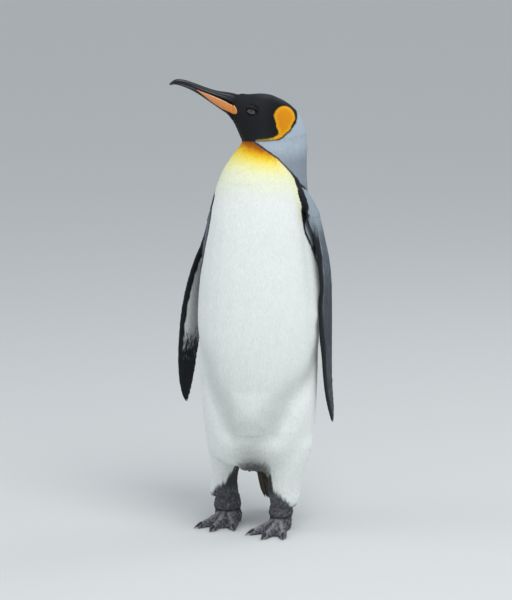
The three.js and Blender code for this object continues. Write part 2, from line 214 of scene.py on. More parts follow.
skin = merged_copy("skin", FLESH, CUT_OVERLAP)
skin_mesh = worked(skin, "REMESH", mode="VOXEL", voxel_size=SKIN_GRAIN)
skin_points = corners_of(skin_mesh)
skin_ends = edges_of(skin_mesh)
skin_part = nearest_flesh(skin_points)
skin_pull = settled(by_part(skin_part, SMOOTHING)[:, None], skin_ends, np.full(len(skin_part), 0.5), 8)[:, 0]
skin_points = settled(skin_points, skin_ends, skin_pull, SMOOTHING_ROUNDS)
move_corners(skin_mesh, skin_points)

# The skin draws in by the feathers' depth, and not where it meets the bill.
horn_tree, _ = surface_of(["bill_upper", "bill_lower"])
near_horn = skin_points[:, 2] > 0.80
from_horn = np.full(len(skin_points), 1.0)
from_horn[near_horn] = [horn_tree.find_nearest(point)[3] for point in skin_points[near_horn]]
depth = settled(by_part(skin_part, FEATHER_DEPTH)[:, None], skin_ends, np.full(len(skin_part), 0.5), 12)[:, 0]
depth = depth * MM * ease(0, 8 * MM, from_horn)
bearing, _ = round_trunk(skin_points)
height = skin_points[:, 2]
depth *= 1 - by_part(skin_part, {"leg": 1.0}) * ease(0.090, 0.062, height)
flank = between(68, 82, 100, 118, np.abs(bearing)) * ease(0.30, 0.36, height)
depth *= 1 - 0.8 * flank * ease(0.62, 0.56, height)
ahead, height, _ = in_head(skin_points)
crown = ease(0.858, 0.873, height) * between(-22 * MM, 2 * MM, 52 * MM, 74 * MM, ahead)
depth -= CROWN_LIFT * crown
skin_points -= read(skin_mesh.vertices, "normal", 3) * depth[:, None]

# The bird's left flipper lies close against its flank, and stands off a little below the shoulder.
is_left = skin_part == FLESH.index("flipper_left")
front = skin_points[:, 1] - skin_points[is_left, 1].min()
close = is_left * between(0.34, 0.40, 0.455, 0.50, height) * ease(26 * MM, 6 * MM, front)
apart = is_left * between(0.54, 0.56, 0.605, 0.63, height) * ease(32 * MM, 10 * MM, front)
skin_points[:, 0] += FLIPPER_APART * apart - FLIPPER_CLOSE * close

# The flank swells out as far as the flipper that lies against it.
swell = between(0.41, 0.45, 0.58, 0.622, height) * between(72, 86, 110, 122, bearing)
skin_points[:, 0] += FLANK_SWELL * swell * by_part(skin_part, {"trunk": 1.0})
move_corners(skin_mesh, skin_points)

# Belly and thighs run into each other softly round the vent, and so do neck and left shoulder.
around_vent = by_part(skin_part, {"trunk": 1, "leg": 1}) * between(0.085, 0.12, 0.19, 0.25, height)
around_shoulder = between(0.635, 0.665, 0.715, 0.735, height) * between(60, 76, 150, 165, bearing)
for softness, rounds in ((around_vent, GROIN_ROUNDS), (around_shoulder, SHOULDER_ROUNDS)):
    soft = skin.vertex_groups.new(name="soft")
    for level in range(1, 11):
        here = np.flatnonzero(np.round(softness * 10) == level)
        soft.add(here.tolist(), level / 10, "REPLACE")
    worked(skin, "SMOOTH", factor=0.5, iterations=rounds, vertex_group="soft")
    skin.vertex_groups.clear()
skin_mesh = skin.data
skin_points = corners_of(skin_mesh)

# The crease where the belly hangs over each thigh, from the flank inwards: bearing, height and depth in mm.
CREASES = [
    [
        (115, 0.365, 1), (100, 0.356, 2), (87, 0.346, 5), (78, 0.318, 9), (63.6, 0.304, 11),
        (49.4, 0.286, 12), (40.3, 0.271, 12), (35.8, 0.253, 12), (30.2, 0.235, 12), (26.2, 0.217, 12),
        (20, 0.211, 9), (13.7, 0.212, 6), (6.5, 0.214, 4.5), (-0.4, 0.215, 4.5),
    ],
    [
        (-100, 0.41, 1), (-74, 0.39, 2), (-55, 0.372, 4), (-45, 0.358, 6), (-38.3, 0.341, 8),
        (-36, 0.325, 8.5), (-30.8, 0.300, 9.5), (-23, 0.275, 10.5), (-16.3, 0.247, 11),
        (-11, 0.223, 10), (-6, 0.215, 6), (-0.4, 0.215, 4.5),
    ],
]
CREASE_ABOVE, CREASE_BELOW = 32 * MM, 25 * MM  # the belly turns under slowly, and the thigh swells out again
GIRTH = 0.12  # the body's rough radius, which turns bearings into distances
VENT_HOLLOW = 2 * MM
STUMP_TOP = 0.095  # the height above which the tail keeps its shape
STUMP_DRAW = 0.72  # the share by which the tail below that height draws up
# Folds across the ankle: height, width and depth in mm.
ANKLE_FOLDS = [(29, 2.2, 2.0), (33.8, 1.6, 1.1), (24.5, 1.6, 1.0), (43, 1.8, 0.7)]
WRINKLE = 1.7 * MM
TOE_RIDGE = 1.5 * MM
FOOT_SPREAD = 0.24  # the share by which the right foot is broader on its inner side
SHANK_SWELL = 1.0 * MM
CLAWS = [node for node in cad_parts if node.startswith("claw_")]


def ripple(points, size):
    """Smooth noise from -1 to 1 whose lumps have the given size."""
    return np.array([noise.noise(point / size) for point in points])


def distance_to_path(x, y, path):
    """Distance from points on a plane to a path of straight runs, less the path's own thickness
    where its points give one."""
    best = np.full(len(x), np.inf)
    for start, end in zip(path, path[1:]):
        run = (end[0] - start[0], end[1] - start[1])
        along = ((x - start[0]) * run[0] + (y - start[1]) * run[1]) / (run[0] ** 2 + run[1] ** 2)
        along = np.clip(along, 0, 1)
        away = np.hypot(x - start[0] - along * run[0], y - start[1] - along * run[1])
        thick = start[2] + along * (end[2] - start[2]) if len(start) > 2 else 0
        best = np.minimum(best, away - thick)
    return best


def crease_at(points):
    """The crease's depth in metres, and from 0 to 1 how near points lie above it and in the vent's hollow."""
    bearing, _ = round_trunk(points)
    height = points[:, 2]
    crease, turned_under = np.zeros(len(points)), np.zeros(len(points))
    for run in CREASES:
        side = np.sign(run[0][0])
        turns, heights, depths = np.array(run)[::-1].T
        above = height > np.interp(side * bearing, side * turns, heights)
        deep = MM * np.interp(side * bearing, side * turns, depths)
        path = [(math.radians(turn) * GIRTH, rise) for turn, rise, _ in run]
        away = distance_to_path(np.radians(bearing) * GIRTH, height, path)
        near = np.exp(-((away / np.where(above, CREASE_ABOVE, CREASE_BELOW)) ** 2))
        crease = np.maximum(crease, deep * near)
        turned = np.where(above, near, near**4) * np.minimum(1, deep / (6 * MM))
        turned_under = np.maximum(turned_under, turned)
    hollow = np.exp(-(((bearing - 8) / 17) ** 2)) * ease(0.219, 0.205, height)
    return crease, turned_under, hollow


crease, _, hollow = crease_at(skin_points)
crease = crease + VENT_HOLLOW * hollow
height = skin_points[:, 2]
crease *= by_part(skin_part, {"trunk": 1, "leg": 1}) * ease(0.10, 0.16, height)
crease = settled(crease[:, None], skin_ends, np.full(len(crease), 0.5), 8)[:, 0]
skin_points -= read(skin_mesh.vertices, "normal", 3) * crease[:, None]
move_corners(skin_mesh, skin_points)

# The fleshy tail ends in a short stump, from which the quills grow.
stump = by_part(skin_part, {"tail": 1.0}) * ease(STUMP_TOP, STUMP_TOP - 10 * MM, height)
drawn_up = (STUMP_TOP - skin_points[:, 2]) * STUMP_DRAW * stump
skin_points[:, 2] += drawn_up
skin_points[:, 1] -= drawn_up * 0.35


def from_toe_ridge(points):
    """How far points lie from the ridge of the nearest toe, which runs from the ankle to its claw."""
    paths = [(ankles[node.split("_")[1]][:2], node_middle(node)[:2]) for node in CLAWS]
    return np.min([distance_to_path(points[:, 0], points[:, 1], path) for path in paths], 0)


# A ring of folds crosses the front of each ankle, and the toes are ridged along and wrinkled across.
on_foot = by_part(skin_part, {"foot": 1.0})
inwards = skin_points[:, 0] - ankles["right"][0]
broad = on_foot * (inwards > 0) * (skin_points[:, 0] < trunk_axis[0])
broad = broad * ease(34 * MM, 14 * MM, skin_points[:, 2])
away = np.linalg.norm((skin_points - ankles["right"])[:, :2], axis=1)
skin_points[:, 0] += FOOT_SPREAD * broad * ease(62 * MM, 44 * MM, away) * inwards
from_axis = np.full(len(skin_points), np.inf)
for ankle in ankles.values():
    from_axis = np.minimum(from_axis, np.linalg.norm((skin_points - ankle)[:, :2], axis=1))
fold = 0.0
for place, width, strength in ANKLE_FOLDS:
    wavy = place * MM + 3.5 * MM * ripple(skin_points * [1, 1, 0.3], 15 * MM)
    fold = fold + strength * MM * np.exp(-(((skin_points[:, 2] - wavy) / (width * MM)) ** 2))
fold = fold * ease(42 * MM, 34 * MM, from_axis)
wrinkle = WRINKLE * np.abs(ripple(skin_points * [1, 1, 1.3], 6.5 * MM)) ** 0.7
low_down = ease(30 * MM, 22 * MM, skin_points[:, 2])
on_shank = between(28 * MM, 33 * MM, 40 * MM, 50 * MM, skin_points[:, 2])
fold = fold - SHANK_SWELL * on_shank
ridge = TOE_RIDGE * low_down * (np.exp(-((from_toe_ridge(skin_points) / (3.5 * MM)) ** 2)) - 0.55)
skin_points -= read(skin_mesh.vertices, "normal", 3) * (on_foot * (fold + wrinkle - ridge))[:, None]
skin_points[:, 2] = np.where(on_foot > 0, np.maximum(skin_points[:, 2], 0.3 * MM), skin_points[:, 2])
move_corners(skin_mesh, skin_points)

# Fewer faces under the feathers, more on the face and the feet.
coarse = skin.vertex_groups.new(name="coarse")
fine_parts = by_part(skin_part, {"head": 1, "foot": 1})
coarse.add(np.flatnonzero(fine_parts == 0).tolist(), 1.0, "REPLACE")
coarse.add(np.flatnonzero(fine_parts == 1).tolist(), 0.4, "REPLACE")
worked(
    skin,
    "DECIMATE",
    ratio=SKIN_TRIANGLES / (2 * len(skin_mesh.polygons)),
    vertex_group="coarse",
    use_collapse_triangulate=True,
)
skin.vertex_groups.clear()
skin_mesh = skin.data
skin_points = corners_of(skin_mesh)
skin_part = nearest_flesh(skin_points)


# ---------------------------------------------------------------- plumage
# The markings of an adult: black hood, orange ear patch running into a thin gold line, orange throat
# that pales down a white breast, a black border and a silver-grey back, slate flippers.
def paint(red, green, blue):
    """A colour as it is seen, 0 to 255, turned into light."""
    seen = np.array([red, green, blue]) / 255
    return np.where(seen <= 0.04045, seen / 12.92, ((seen + 0.055) / 1.055) ** 2.4)


# The crown's colour is a painted sheen, laid where the hood faces upwards.
HOOD, FACE, CROWN_PAINTED_SHEEN, BORDER = paint(13, 14, 17), paint(28, 29, 33), paint(52, 56, 63), paint(26, 29, 34)
PATCH_HEART, PATCH_RIM, PATCH_TAIL = paint(220, 142, 4), paint(238, 172, 14), paint(176, 148, 40)
NAPE, SHOULDER = paint(170, 183, 194), paint(137, 147, 157)
BACK, RUMP = paint(104, 112, 122), paint(78, 85, 94)
# The flank strip's streaks are painted far paler than their grey, as painted light against the shade of the
# groove.
SHOULDER_PALE, STREAKS_PAINTED_LIGHT = paint(150, 163, 173), paint(232, 240, 247)
BREAST, BREAST_EDGE = paint(239, 243, 240), paint(240, 238, 192)
THROAT = [  # how far below the chin in mm, and the colour there
    (0, paint(134, 70, 1)),
    (9, paint(184, 106, 3)),
    (14, paint(224, 154, 12)),
    (19.5, paint(236, 190, 26)),
    (26.5, paint(247, 218, 75)),
    (36.5, paint(247, 235, 135)),
    (46.5, paint(244, 239, 176)),
    (56.5, paint(241, 242, 200)),
    (70, paint(239, 242, 216)),
    (90, paint(238, 242, 228)),
    (110, BREAST),
]
THROAT_SLANT = 0.22  # mm that the colours reach further down for each degree round to the sides
FLIPPER, FLIPPER_EDGE, FLIPPER_LINING = paint(76, 83, 90), paint(37, 40, 44), paint(252, 254, 252)
FLIPPER_UPPER, FLIPPER_LINE = paint(102, 111, 120), paint(172, 178, 184)
SOOT, TAIL_BLACK, FOOT_BLACK = paint(66, 65, 68), paint(44, 40, 36), paint(82, 82, 87)
FOOT_PALE = paint(160, 160, 166)

CHIN = 0.7785  # height of the hood's lower edge at the throat
# Bearings of the white breast's edge on the bird's left and right, at each height.
BREAST_LEFT = [
    (0.10, 118), (0.30, 104), (0.45, 108), (0.50, 106), (0.527, 98), (0.554, 86), (0.578, 80.4),
    (0.602, 76.8), (0.642, 76.3), (0.66, 77.1), (0.68, 79.5), (0.697, 85.7), (0.709, 89.4), (0.722, 88.4),
    (0.736, 85.2), (0.748, 80.8), (0.759, 68.4), (0.768, 54), (0.7785, 33),
]
BREAST_RIGHT = [
    (0.10, 106), (0.30, 88), (0.45, 80), (0.52, 62), (0.544, 57.5), (0.572, 56.1), (0.60, 52), (0.628, 52.5),
    (0.654, 57), (0.672, 54), (0.697, 68), (0.709, 76), (0.722, 80), (0.736, 80), (0.748, 78),
    (0.759, 66), (0.768, 46), (0.7785, 22),
]
# How wide the dark border is in mm at each height, on the body and on the left flipper.
BORDER_WIDTH = [
    (0.30, 6), (0.56, 6), (0.60, 6.5), (0.62, 8), (0.642, 13), (0.69, 18), (0.705, 13), (0.715, 8),
    (0.725, 5), (0.74, 3.5),
]
WING_BORDER = [
    (0.62, -2), (0.635, -1), (0.645, 1.3), (0.655, 4), (0.662, 5.5), (0.672, 9), (0.68, 12), (0.70, 14),
    (0.71, 11),
]
# The hood's lower edge: ahead of the neck's axis in mm, and height in mm.
HOOD_EDGE = [
    (-64, 850), (-56, 842), (-51.5, 834), (-51, 826), (-46.2, 814), (-35.8, 802), (-29, 796.5), (-22, 791.3),
    (-14, 786.5), (-6, 782.8), (5, 781), (18, 780), (28.6, 779.6), (40, 779), (60, 777.5),
]
# The ear patch as a chain of circles: ahead and height in mm, and radius.
PATCH = [
    (-22.6, 825.5, 22.2), (-20.2, 812, 15.4), (-17, 801, 8.5), (-13.5, 793, 4.6), (-9, 789.3, 3.4),
    (-3, 786.8, 2.6), (4, 784.9, 2), (15, 783.3, 1.4), (35, 781.4, 0.9),
]
PATCH_BORDER = 3.4 * MM
BACK_TONES = [(0.20, RUMP), (0.50, BACK), (0.66, BACK), (0.70, SHOULDER), (0.74, SHOULDER), (0.768, NAPE)]
# How much painted shade darkens the vent's hollow at each height.
VENT_SHADE = [
    (0.146, 0.66), (0.155, 0.56), (0.160, 0.46), (0.166, 0.36), (0.188, 0.30), (0.200, 0.15), (0.215, 0),
]
PALETTE_STEP = 0.8 * MM  # how softly one colour passes into the next


def along_outline(outline, values):
    places, heights = zip(*outline)
    return np.interp(values, places, heights)


def laid(colour, over, mask):
    """Another colour laid over the first, as strongly as the mask says at each place."""
    return colour + np.asarray(mask)[:, None] * (over - colour)


def graded(stops, values):
    places, colours = zip(*stops)
    return np.stack([np.interp(values, places, channel) for channel in np.array(colours).T], 1)


def breast_side(points):
    """How far inside the white breast's edge points lie, in metres along the skin."""
    bearing, reach = round_trunk(points)
    height = points[:, 2]
    left, right = (
        [along_outline(edge, height + step * MM) for step in (-1, 0, 1)]
        for edge in (BREAST_LEFT, BREAST_RIGHT)
    )
    below, edge, above = np.where(bearing > 0, left, right)
    slope = (above - below) / (2 * MM)
    gap = np.radians(edge - np.abs(bearing)) * reach
    return gap / np.hypot(1, np.radians(slope) * reach)


def patch_side(points):
    ahead, height, _ = in_head(points)
    return distance_to_path(ahead, height, [tuple(np.array(dot) * MM) for dot in PATCH])


def hood_side(points):
    """How far above the hood's lower edge points lie, in metres."""
    ahead, height, _ = in_head(points)
    edge = along_outline(HOOD_EDGE, ahead / MM) * MM
    slope = (along_outline(HOOD_EDGE, ahead / MM + 1) - along_outline(HOOD_EDGE, ahead / MM - 1)) / 2
    return (height - edge) / np.hypot(1, slope)


def flipper_front(side):
    """The leading edge of one flipper: its place front to back at each height."""
    wing = skin_points[skin_part == FLESH.index(f"flipper_{side}")]
    heights = np.linspace(wing[:, 2].min(), wing[:, 2].max(), 50)
    fronts = [wing[np.abs(wing[:, 2] - height) < 8 * MM, 1].min() for height in heights]
    return list(zip(heights, fronts))


FLIPPER_FRONT = {side: flipper_front(side) for side in ("left", "right")}


def flipper_colour(points, normals):
    """Slate outside, with a dark leading edge and a pale line behind it, and a white lining."""
    height = points[:, 2]
    left = points[:, 0] > trunk_axis[0]
    outer = np.where(left, 1, -1) * normals[:, 0]
    fronts = [along_outline(FLIPPER_FRONT[side], height) for side in ("left", "right")]
    back_from_edge = points[:, 1] - np.where(left, *fronts)
    streak = ripple(points * [1, 1, 0.10], 1.9 * MM)
    shoulder = ease(0.585, 0.635, height + 14 * MM * ripple(points * [1, 1, 0.2], 4 * MM))
    slate = laid(FLIPPER, FLIPPER_UPPER, ease(0.46, 0.56, height))
    slate = slate * (1 + 0.8 * streak)[:, None]
    line = np.exp(-(((back_from_edge / MM - 8) / 1.6) ** 2)) * np.clip(0.9 + 1.5 * streak, 0, 1)
    slate = laid(slate, FLIPPER_LINE, 0.6 * line * ease(0.42, 0.50, height))
    slate = laid(slate, SHOULDER_PALE, shoulder * ease(0.71, 0.68, height))
    slate = laid(slate, SHOULDER, ease(0.68, 0.71, height))
    dark_width = (5 + 3 * ease(0.44, 0.36, height)) * MM
    near_edge = 1 - ease(dark_width, 1.7 * dark_width, back_from_edge)
    slate = laid(slate, FLIPPER_EDGE, (1 - shoulder) * near_edge)
    speckled = height + 40 * MM * ripple(points * [1, 1, 0.35], 3.5 * MM)
    dark_tip = 1 - 0.85 * ease(0.355, 0.395, speckled)
    scuffed = ease(0.25, 0.55, ripple(points * [1, 1, 0.3], 4 * MM)) * ease(0.30, 0.37, height)
    dark_tip = np.clip(dark_tip - 0.15 * ease(0.37, 0.40, height) - 0.30 * scuffed, 0, 1)
    dark_edge = 1 - ease(7 * MM, 10 * MM, back_from_edge + 3 * MM * ripple(points, 12 * MM))
    shoulder_edge = ease(0.545, 0.57, height)
    lining = laid(FLIPPER_LINING, FLIPPER_EDGE, np.maximum(dark_tip, dark_edge))
    lining = laid(lining, FLIPPER_EDGE, shoulder_edge)
    pale_shoulder = between(0.600, 0.616, 0.630, 0.636, height) * left
    lining = laid(lining, SHOULDER_PALE, pale_shoulder)
    return laid(lining, slate, ease(-0.25, 0.1, outer))


# Soot-dark feathers line the inside of each leg, the vent and the tail; the feet are bare and black.
# How far out from the ankle's middle, and the height where the white ends there.
LEG_EDGE = {
    "left": [
        (-20, 0.150), (-12.5, 0.125), (-9.5, 0.103), (-7.5, 0.087), (5.5, 0.078), (18.5, 0.066), (28, 0.052),
    ],
    "right": [(-30, 0.140), (-21.5, 0.118), (-12.5, 0.102), (-2.5, 0.086), (15.5, 0.077), (26, 0.060)],
}


def over_arch(points):
    """From 0 to 1 across the arch between the legs."""
    across = points[:, 0] - trunk_axis[0]
    return between(-28 * MM, -10 * MM, 34 * MM, 48 * MM, across)


def under_mask(points, part):
    """From 0 to 1, where soot, the tail's black and the bare feet take over from the coat's colours."""
    height = points[:, 2]
    left = points[:, 0] > trunk_axis[0]
    edge = np.where(
        left,
        along_outline(LEG_EDGE["left"], (points[:, 0] - ankles["left"][0]) / MM),
        along_outline(LEG_EDGE["right"], (ankles["right"][0] - points[:, 0]) / MM),
    )
    ragged = edge + 6 * MM * ripple(points * [1, 1, 0.25], 5 * MM)
    leg = by_part(part, {"leg": 1.0}) * ease(ragged + 7 * MM, ragged - 5 * MM, height)
    vent = ease(0.154, 0.138, height + 9 * MM * ripple(points * [1, 1, 0.3], 5 * MM)) * over_arch(points)
    vent = 0.8 * vent * by_part(part, {"trunk": 1.0})
    tail = ease(0.152, 0.122, height + 10 * MM * ripple(points * [1, 1, 0.25], 4 * MM))
    tail = np.where(points[:, 1] > trunk_axis[1] + 40 * MM, tail, 1.0) * by_part(part, {"tail": 1.0})
    return np.maximum.reduce([leg, vent, tail, by_part(part, {"foot": 1.0})])


def bare_shank(points, part):
    """From 0 to 1: the foot, and above it the shank, that is scaly and bare."""
    shank = by_part(part, {"leg": 1.0}) * ease(0.081, 0.073, points[:, 2] + 3 * MM * ripple(points, 8 * MM))
    return np.maximum(shank * (under_mask(points, part) > 0.5), by_part(part, {"foot": 1.0}))


def under_colour(points, part):
    colour = laid(SOOT, TAIL_BLACK, by_part(part, {"tail": 1.0}))
    # Painted highlight: the toes' ridges are laid pale, over random pale mottling that fades up the shank.
    ridge = np.exp(-((from_toe_ridge(points) / (4 * MM)) ** 2)) * ease(30 * MM, 20 * MM, points[:, 2])
    paleness = np.clip(0.8 * ridge + 0.75 * ripple(points, 5 * MM) + 0.2, 0, 1)
    paleness = paleness * (1 - 0.4 * ease(24 * MM, 33 * MM, points[:, 2]))
    foot = laid(FOOT_BLACK, FOOT_PALE, paleness)
    cracked = ease(0.10, 0.02, np.abs(ripple(points * [1, 1, 1.7], 7 * MM)))
    # Painted shade darkens the main fold across the ankle, and dark cracks run through the skin.
    fold = ease(3.5 * MM, 1.2 * MM, np.abs(points[:, 2] - ANKLE_FOLDS[0][0] * MM))
    foot = laid(foot, SOOT * 0.4, np.maximum(0.6 * fold, 0.55 * cracked))
    return laid(colour, foot, bare_shank(points, part))


def breast_colour(points):
    """Orange under the chin, paling down to white, with painted shade low on the belly, above each crease and
    in the vent's hollow.
    """
    bearing, _ = round_trunk(points)
    height = points[:, 2]
    drop = (CHIN - height) / MM - THROAT_SLANT * (np.clip(np.abs(bearing), 5, 75) - 28)
    colour = graded(THROAT, drop + 3 * ripple(points, 7 * MM))
    _, turned_under, hollow = crease_at(points)
    # Painted shade: the low belly that turns downwards, the belly where it hangs over each thigh, more so on
    # the left flank, and the vent's hollow.
    low_belly = ease(0.46, 0.24, height) * ease(75, 35, np.abs(bearing))
    low_belly *= 1 - ease(0.35, 0, turned_under) * (height < 0.30)
    shade = 0.09 * low_belly + 0.10 * turned_under * (1 + ease(50, 75, bearing))
    shade += hollow * along_outline(VENT_SHADE, height)
    colour = colour * (1 - shade)[:, None]
    tint = ease(20 * MM, 0, breast_side(points)) * ease(0.59, 0.66, height) * ease(0, 20, bearing)
    return laid(colour, BREAST_EDGE, 0.8 * tint * ease(0.75, 0.73, height))


def back_colour(points):
    """Silver grey that darkens down the back, and on the flank by the left flipper a streaked strip painted
    far paler than its grey, as painted light against the groove's shade.
    """
    bearing, _ = round_trunk(points)
    height = points[:, 2]
    streak = ripple(points * [1, 1, 0.15], 2.2 * MM)
    # Painted light: the strip's grey streaks are laid nearly white, to offset the shade between flank and
    # flipper.
    painted_light_strip = between(77, 80, 100, 107, bearing) * between(0.535, 0.56, 0.60, 0.66, height)
    return laid(graded(BACK_TONES, height), STREAKS_PAINTED_LIGHT, np.clip(painted_light_strip * (0.75 + 0.8 * streak), 0, 1))


def border_mask(points, wing):
    """From 0 to 1, where the black border runs along the back's edge and over the left flipper's root."""
    bearing, away = round_trunk(points)
    height = points[:, 2]
    inside = breast_side(points)
    groove = (1 - wing) * (bearing > 0) * between(0.612, 0.632, 0.685, 0.70, height)
    width = (along_outline(BORDER_WIDTH, height) + 16 * groove) * MM
    left_wing = (wing > 0) & (bearing > 0)
    width = np.where(left_wing, along_outline(WING_BORDER, height) * MM, width)
    armpit = left_wing * ease(0.104, 0.099, away) * between(0.632, 0.640, 0.660, 0.672, height)
    width = width + 40 * MM * armpit
    border = ease(-PALETTE_STEP, PALETTE_STEP, width + inside)
    return border * (1 - (1 - wing) * ease(-PALETTE_STEP, PALETTE_STEP, inside))


def hooded(colour, points, normals):
    """The black hood with a painted sheen on its crown, and the orange ear patch, laid over the colours of
    the neck.
    """
    ahead, height, _ = in_head(points)
    from_patch = patch_side(points)
    above_edge = hood_side(points) + 0.5 * MM * ripple(points, 3 * MM)
    rim = PATCH_BORDER * (1 - 0.6 * ease(-12 * MM, 4 * MM, ahead))
    hood = ease(-PALETTE_STEP, PALETTE_STEP, np.maximum(above_edge, rim - from_patch))
    black = laid(HOOD, FACE, ease(-4 * MM, 24 * MM, ahead))
    # Painted sheen: the hood lightens where it faces the sky, over the crown.
    black = laid(black, CROWN_PAINTED_SHEEN, 0.8 * ease(0.55, 0.95, normals[:, 2]) * ease(40 * MM, 10 * MM, ahead))
    colour = laid(colour, black, hood * ease(0.765, 0.7755, height))
    patch = laid(PATCH_HEART, PATCH_RIM, 0.8 * ease(-9 * MM, -1 * MM, from_patch))
    patch = laid(patch, PATCH_TAIL, ease(-4 * MM, 12 * MM, ahead))
    on_patch = ease(PALETTE_STEP, -PALETTE_STEP, from_patch) * ease(0.775, 0.779, height)
    return laid(colour, patch, on_patch)


def plumage(points, normals, part):
    """The coat's colour at each place on the skin."""
    on_breast = ease(-PALETTE_STEP, PALETTE_STEP, breast_side(points))
    colour = laid(back_colour(points), breast_colour(points), on_breast)
    wing = by_part(part, {"flipper": 1.0})
    border = border_mask(points, wing)
    colour = hooded(laid(colour, BORDER, border), points, normals)
    wing = wing * (1 - border * ease(0.60, 0.63, points[:, 2]))
    colour = laid(colour, flipper_colour(points, normals), wing)
    return laid(colour, under_colour(points, part), under_mask(points, part))


# ---------------------------------------------------------------- lie of the feathers
# Feathers run back from the bill over the head, then down the neck and body and along the flippers.
# The scales of the feet run forward along the toes. Each place also gets its feathers' length.
BILL_ROOT = neck_axis + 78 * MM * head_ahead + [0, 0, 0.842]
DOWN = {"trunk": (0, 0.12, -1), "flipper": (0, 0.25, -1)}


def lie(points, normals, part):
    from_bill = points - BILL_ROOT
    from_bill /= np.linalg.norm(from_bill, axis=1)[:, None]
    wing = by_part(part, {"flipper": 1.0})[:, None]
    down = np.array(DOWN["trunk"]) * (1 - wing) + np.array(DOWN["flipper"]) * wing
    share = ease(0.73, 0.79, points[:, 2])[:, None]
    flow = share * from_bill + (1 - share) * down
    on_foot = by_part(part, {"foot": 1.0})[:, None] * ease(0.045, 0.030, points[:, 2])[:, None]
    flow += on_foot * ([0, -1.6, 0.4] - flow)
    flow -= normals * (flow * normals).sum(1)[:, None]
    return flow / np.linalg.norm(flow, axis=1)[:, None]


def hanging(points, part):
    """From 0 to 1, how freely the feathers hang, as they do round the arch between the legs."""
    height = points[:, 2]
    rim = by_part(part, {"trunk": 1.0}) * ease(0.160, 0.146, height) * over_arch(points)
    hem = by_part(part, {"leg": 1.0}) * between(0.060, 0.072, 0.095, 0.125, height)
    return np.maximum(rim * (points[:, 1] < 0), 0.22 * hem)


def feather_length(points, part):
    """Feathers are smallest on the face and the flippers and longest on the body, in metres."""
    from_bill = np.linalg.norm(points - BILL_ROOT, axis=1)
    height = points[:, 2]
    head = 3.3 + 2.1 * ease(0.01, 0.10, from_bill)
    body = 6 + 7 * ease(0.775, 0.62, height)
    length = body + (head - body) * ease(0.765, 0.80, height)
    length = np.where(by_part(part, {"flipper": 1.0}) > 0, 3.6 + 3 * ease(0.5, 0.68, height), length)
    length = np.where(by_part(part, {"leg": 1.0}) > 0, 11 - 3 * ease(0.11, 0.06, height), length)
    length = length * (1 + 0.6 * hanging(points, part) * (1 + 1.4 * ripple(points * [1, 1, 0], 5 * MM)))
    return np.where(bare_shank(points, part) > 0.5, 2.7, length) * MM


# ---------------------------------------------------------------- finishes of skin and feather
# The coat's colour is taken where each corner of each feather lies. The finish adds what one feather has:
# a pale shaft and tip, fine barbs, and small differences from its neighbours.
class Wire:
    """An output in a node tree. Python's operators on it add Math nodes."""

    def __init__(self, tree, socket):
        self.tree = tree
        self.socket = socket

    @classmethod
    def node(cls, tree, kind, settings=None, sockets=None, output=0):
        """Adds a node: its settings first, then the values or links of its sockets."""
        made = tree.nodes.new(kind)
        for name, value in (settings or {}).items():
            if name == "stops":
                ramp = made.color_ramp.elements
                while len(ramp) < len(value):
                    ramp.new(1.0)
                for element, (place, colour) in zip(ramp, value):
                    element.position = place
                    element.color = (*colour, 1)
            else:
                setattr(made, name, value)
        for name, value in (sockets or {}).items():
            if isinstance(value, Wire):
                tree.links.new(value.socket, made.inputs[name])
            else:
                made.inputs[name].default_value = value
        return cls(tree, made.outputs[output])

    def maths(self, operation, *others):
        values = dict(enumerate((self, *others)))
        return Wire.node(self.tree, "ShaderNodeMath", {"operation": operation}, values)

    def __add__(self, other):
        return self.maths("ADD", other)

    def __mul__(self, other):
        return self.maths("MULTIPLY", other)

    def __sub__(self, other):
        return self.maths("SUBTRACT", other)

    def __rsub__(self, other):
        values = {0: other, 1: self}
        return Wire.node(self.tree, "ShaderNodeMath", {"operation": "SUBTRACT"}, values)

    def __truediv__(self, other):
        return self.maths("DIVIDE", other)

    def __rtruediv__(self, other):
        values = {0: other, 1: self}
        return Wire.node(self.tree, "ShaderNodeMath", {"operation": "DIVIDE"}, values)

    __radd__ = __add__
    __rmul__ = __mul__

    def eased(self, low, high):
        """From 0 at low to 1 at high."""
        sockets = {0: self, 1: low, 2: high, 3: 0.0, 4: 1.0}
        settings = {"interpolation_type": "SMOOTHSTEP"}
        return Wire.node(self.tree, "ShaderNodeMapRange", settings, sockets)


def new_material(name):
    material = bpy.data.materials.new(name)
    material.use_nodes = True
    return material, material.node_tree, material.node_tree.nodes["Principled BSDF"]


def named(tree, name, output="Fac"):
    """An attribute of the mesh."""
    return Wire.node(tree, "ShaderNodeAttribute", {"attribute_name": name}, output=output)


def place_on(tree):
    return Wire.node(tree, "ShaderNodeTexCoord", output="Object")


def noise_on(tree, vector, scale, detail=2.0):
    sockets = {"Vector": vector, "Scale": scale, "Detail": detail}
    return Wire.node(tree, "ShaderNodeTexNoise", {}, sockets)


def blended(tree, factor, one, two, kind="MIX"):
    """A colour between two, or one colour multiplied by another."""
    settings = {"data_type": "RGBA", "blend_type": kind}
    return Wire.node(tree, "ShaderNodeMix", settings, {0: factor, 6: one, 7: two}, 2)


def grey(tree, value):
    """A number as a grey, to multiply a colour with."""
    return Wire.node(tree, "ShaderNodeCombineColor", {}, {0: value, 1: value, 2: value})


def coloured(tree, shader, colour, value):
    """Gives the finish a colour, lighter or darker by a number."""
    toned = blended(tree, 1.0, colour, grey(tree, value), "MULTIPLY")
    tree.links.new(toned.socket, shader.inputs["Base Color"])


def roughened(tree, shader, value):
    tree.links.new(value.socket, shader.inputs["Roughness"])


def embossed(tree, shader, relief, strength, depth):
    """Gives the finish a fine relief, with its depth in mm."""
    sockets = {"Strength": strength, "Distance": depth * MM, "Height": relief}
    bump = Wire.node(tree, "ShaderNodeBump", {}, sockets)
    tree.links.new(bump.socket, shader.inputs["Normal"])


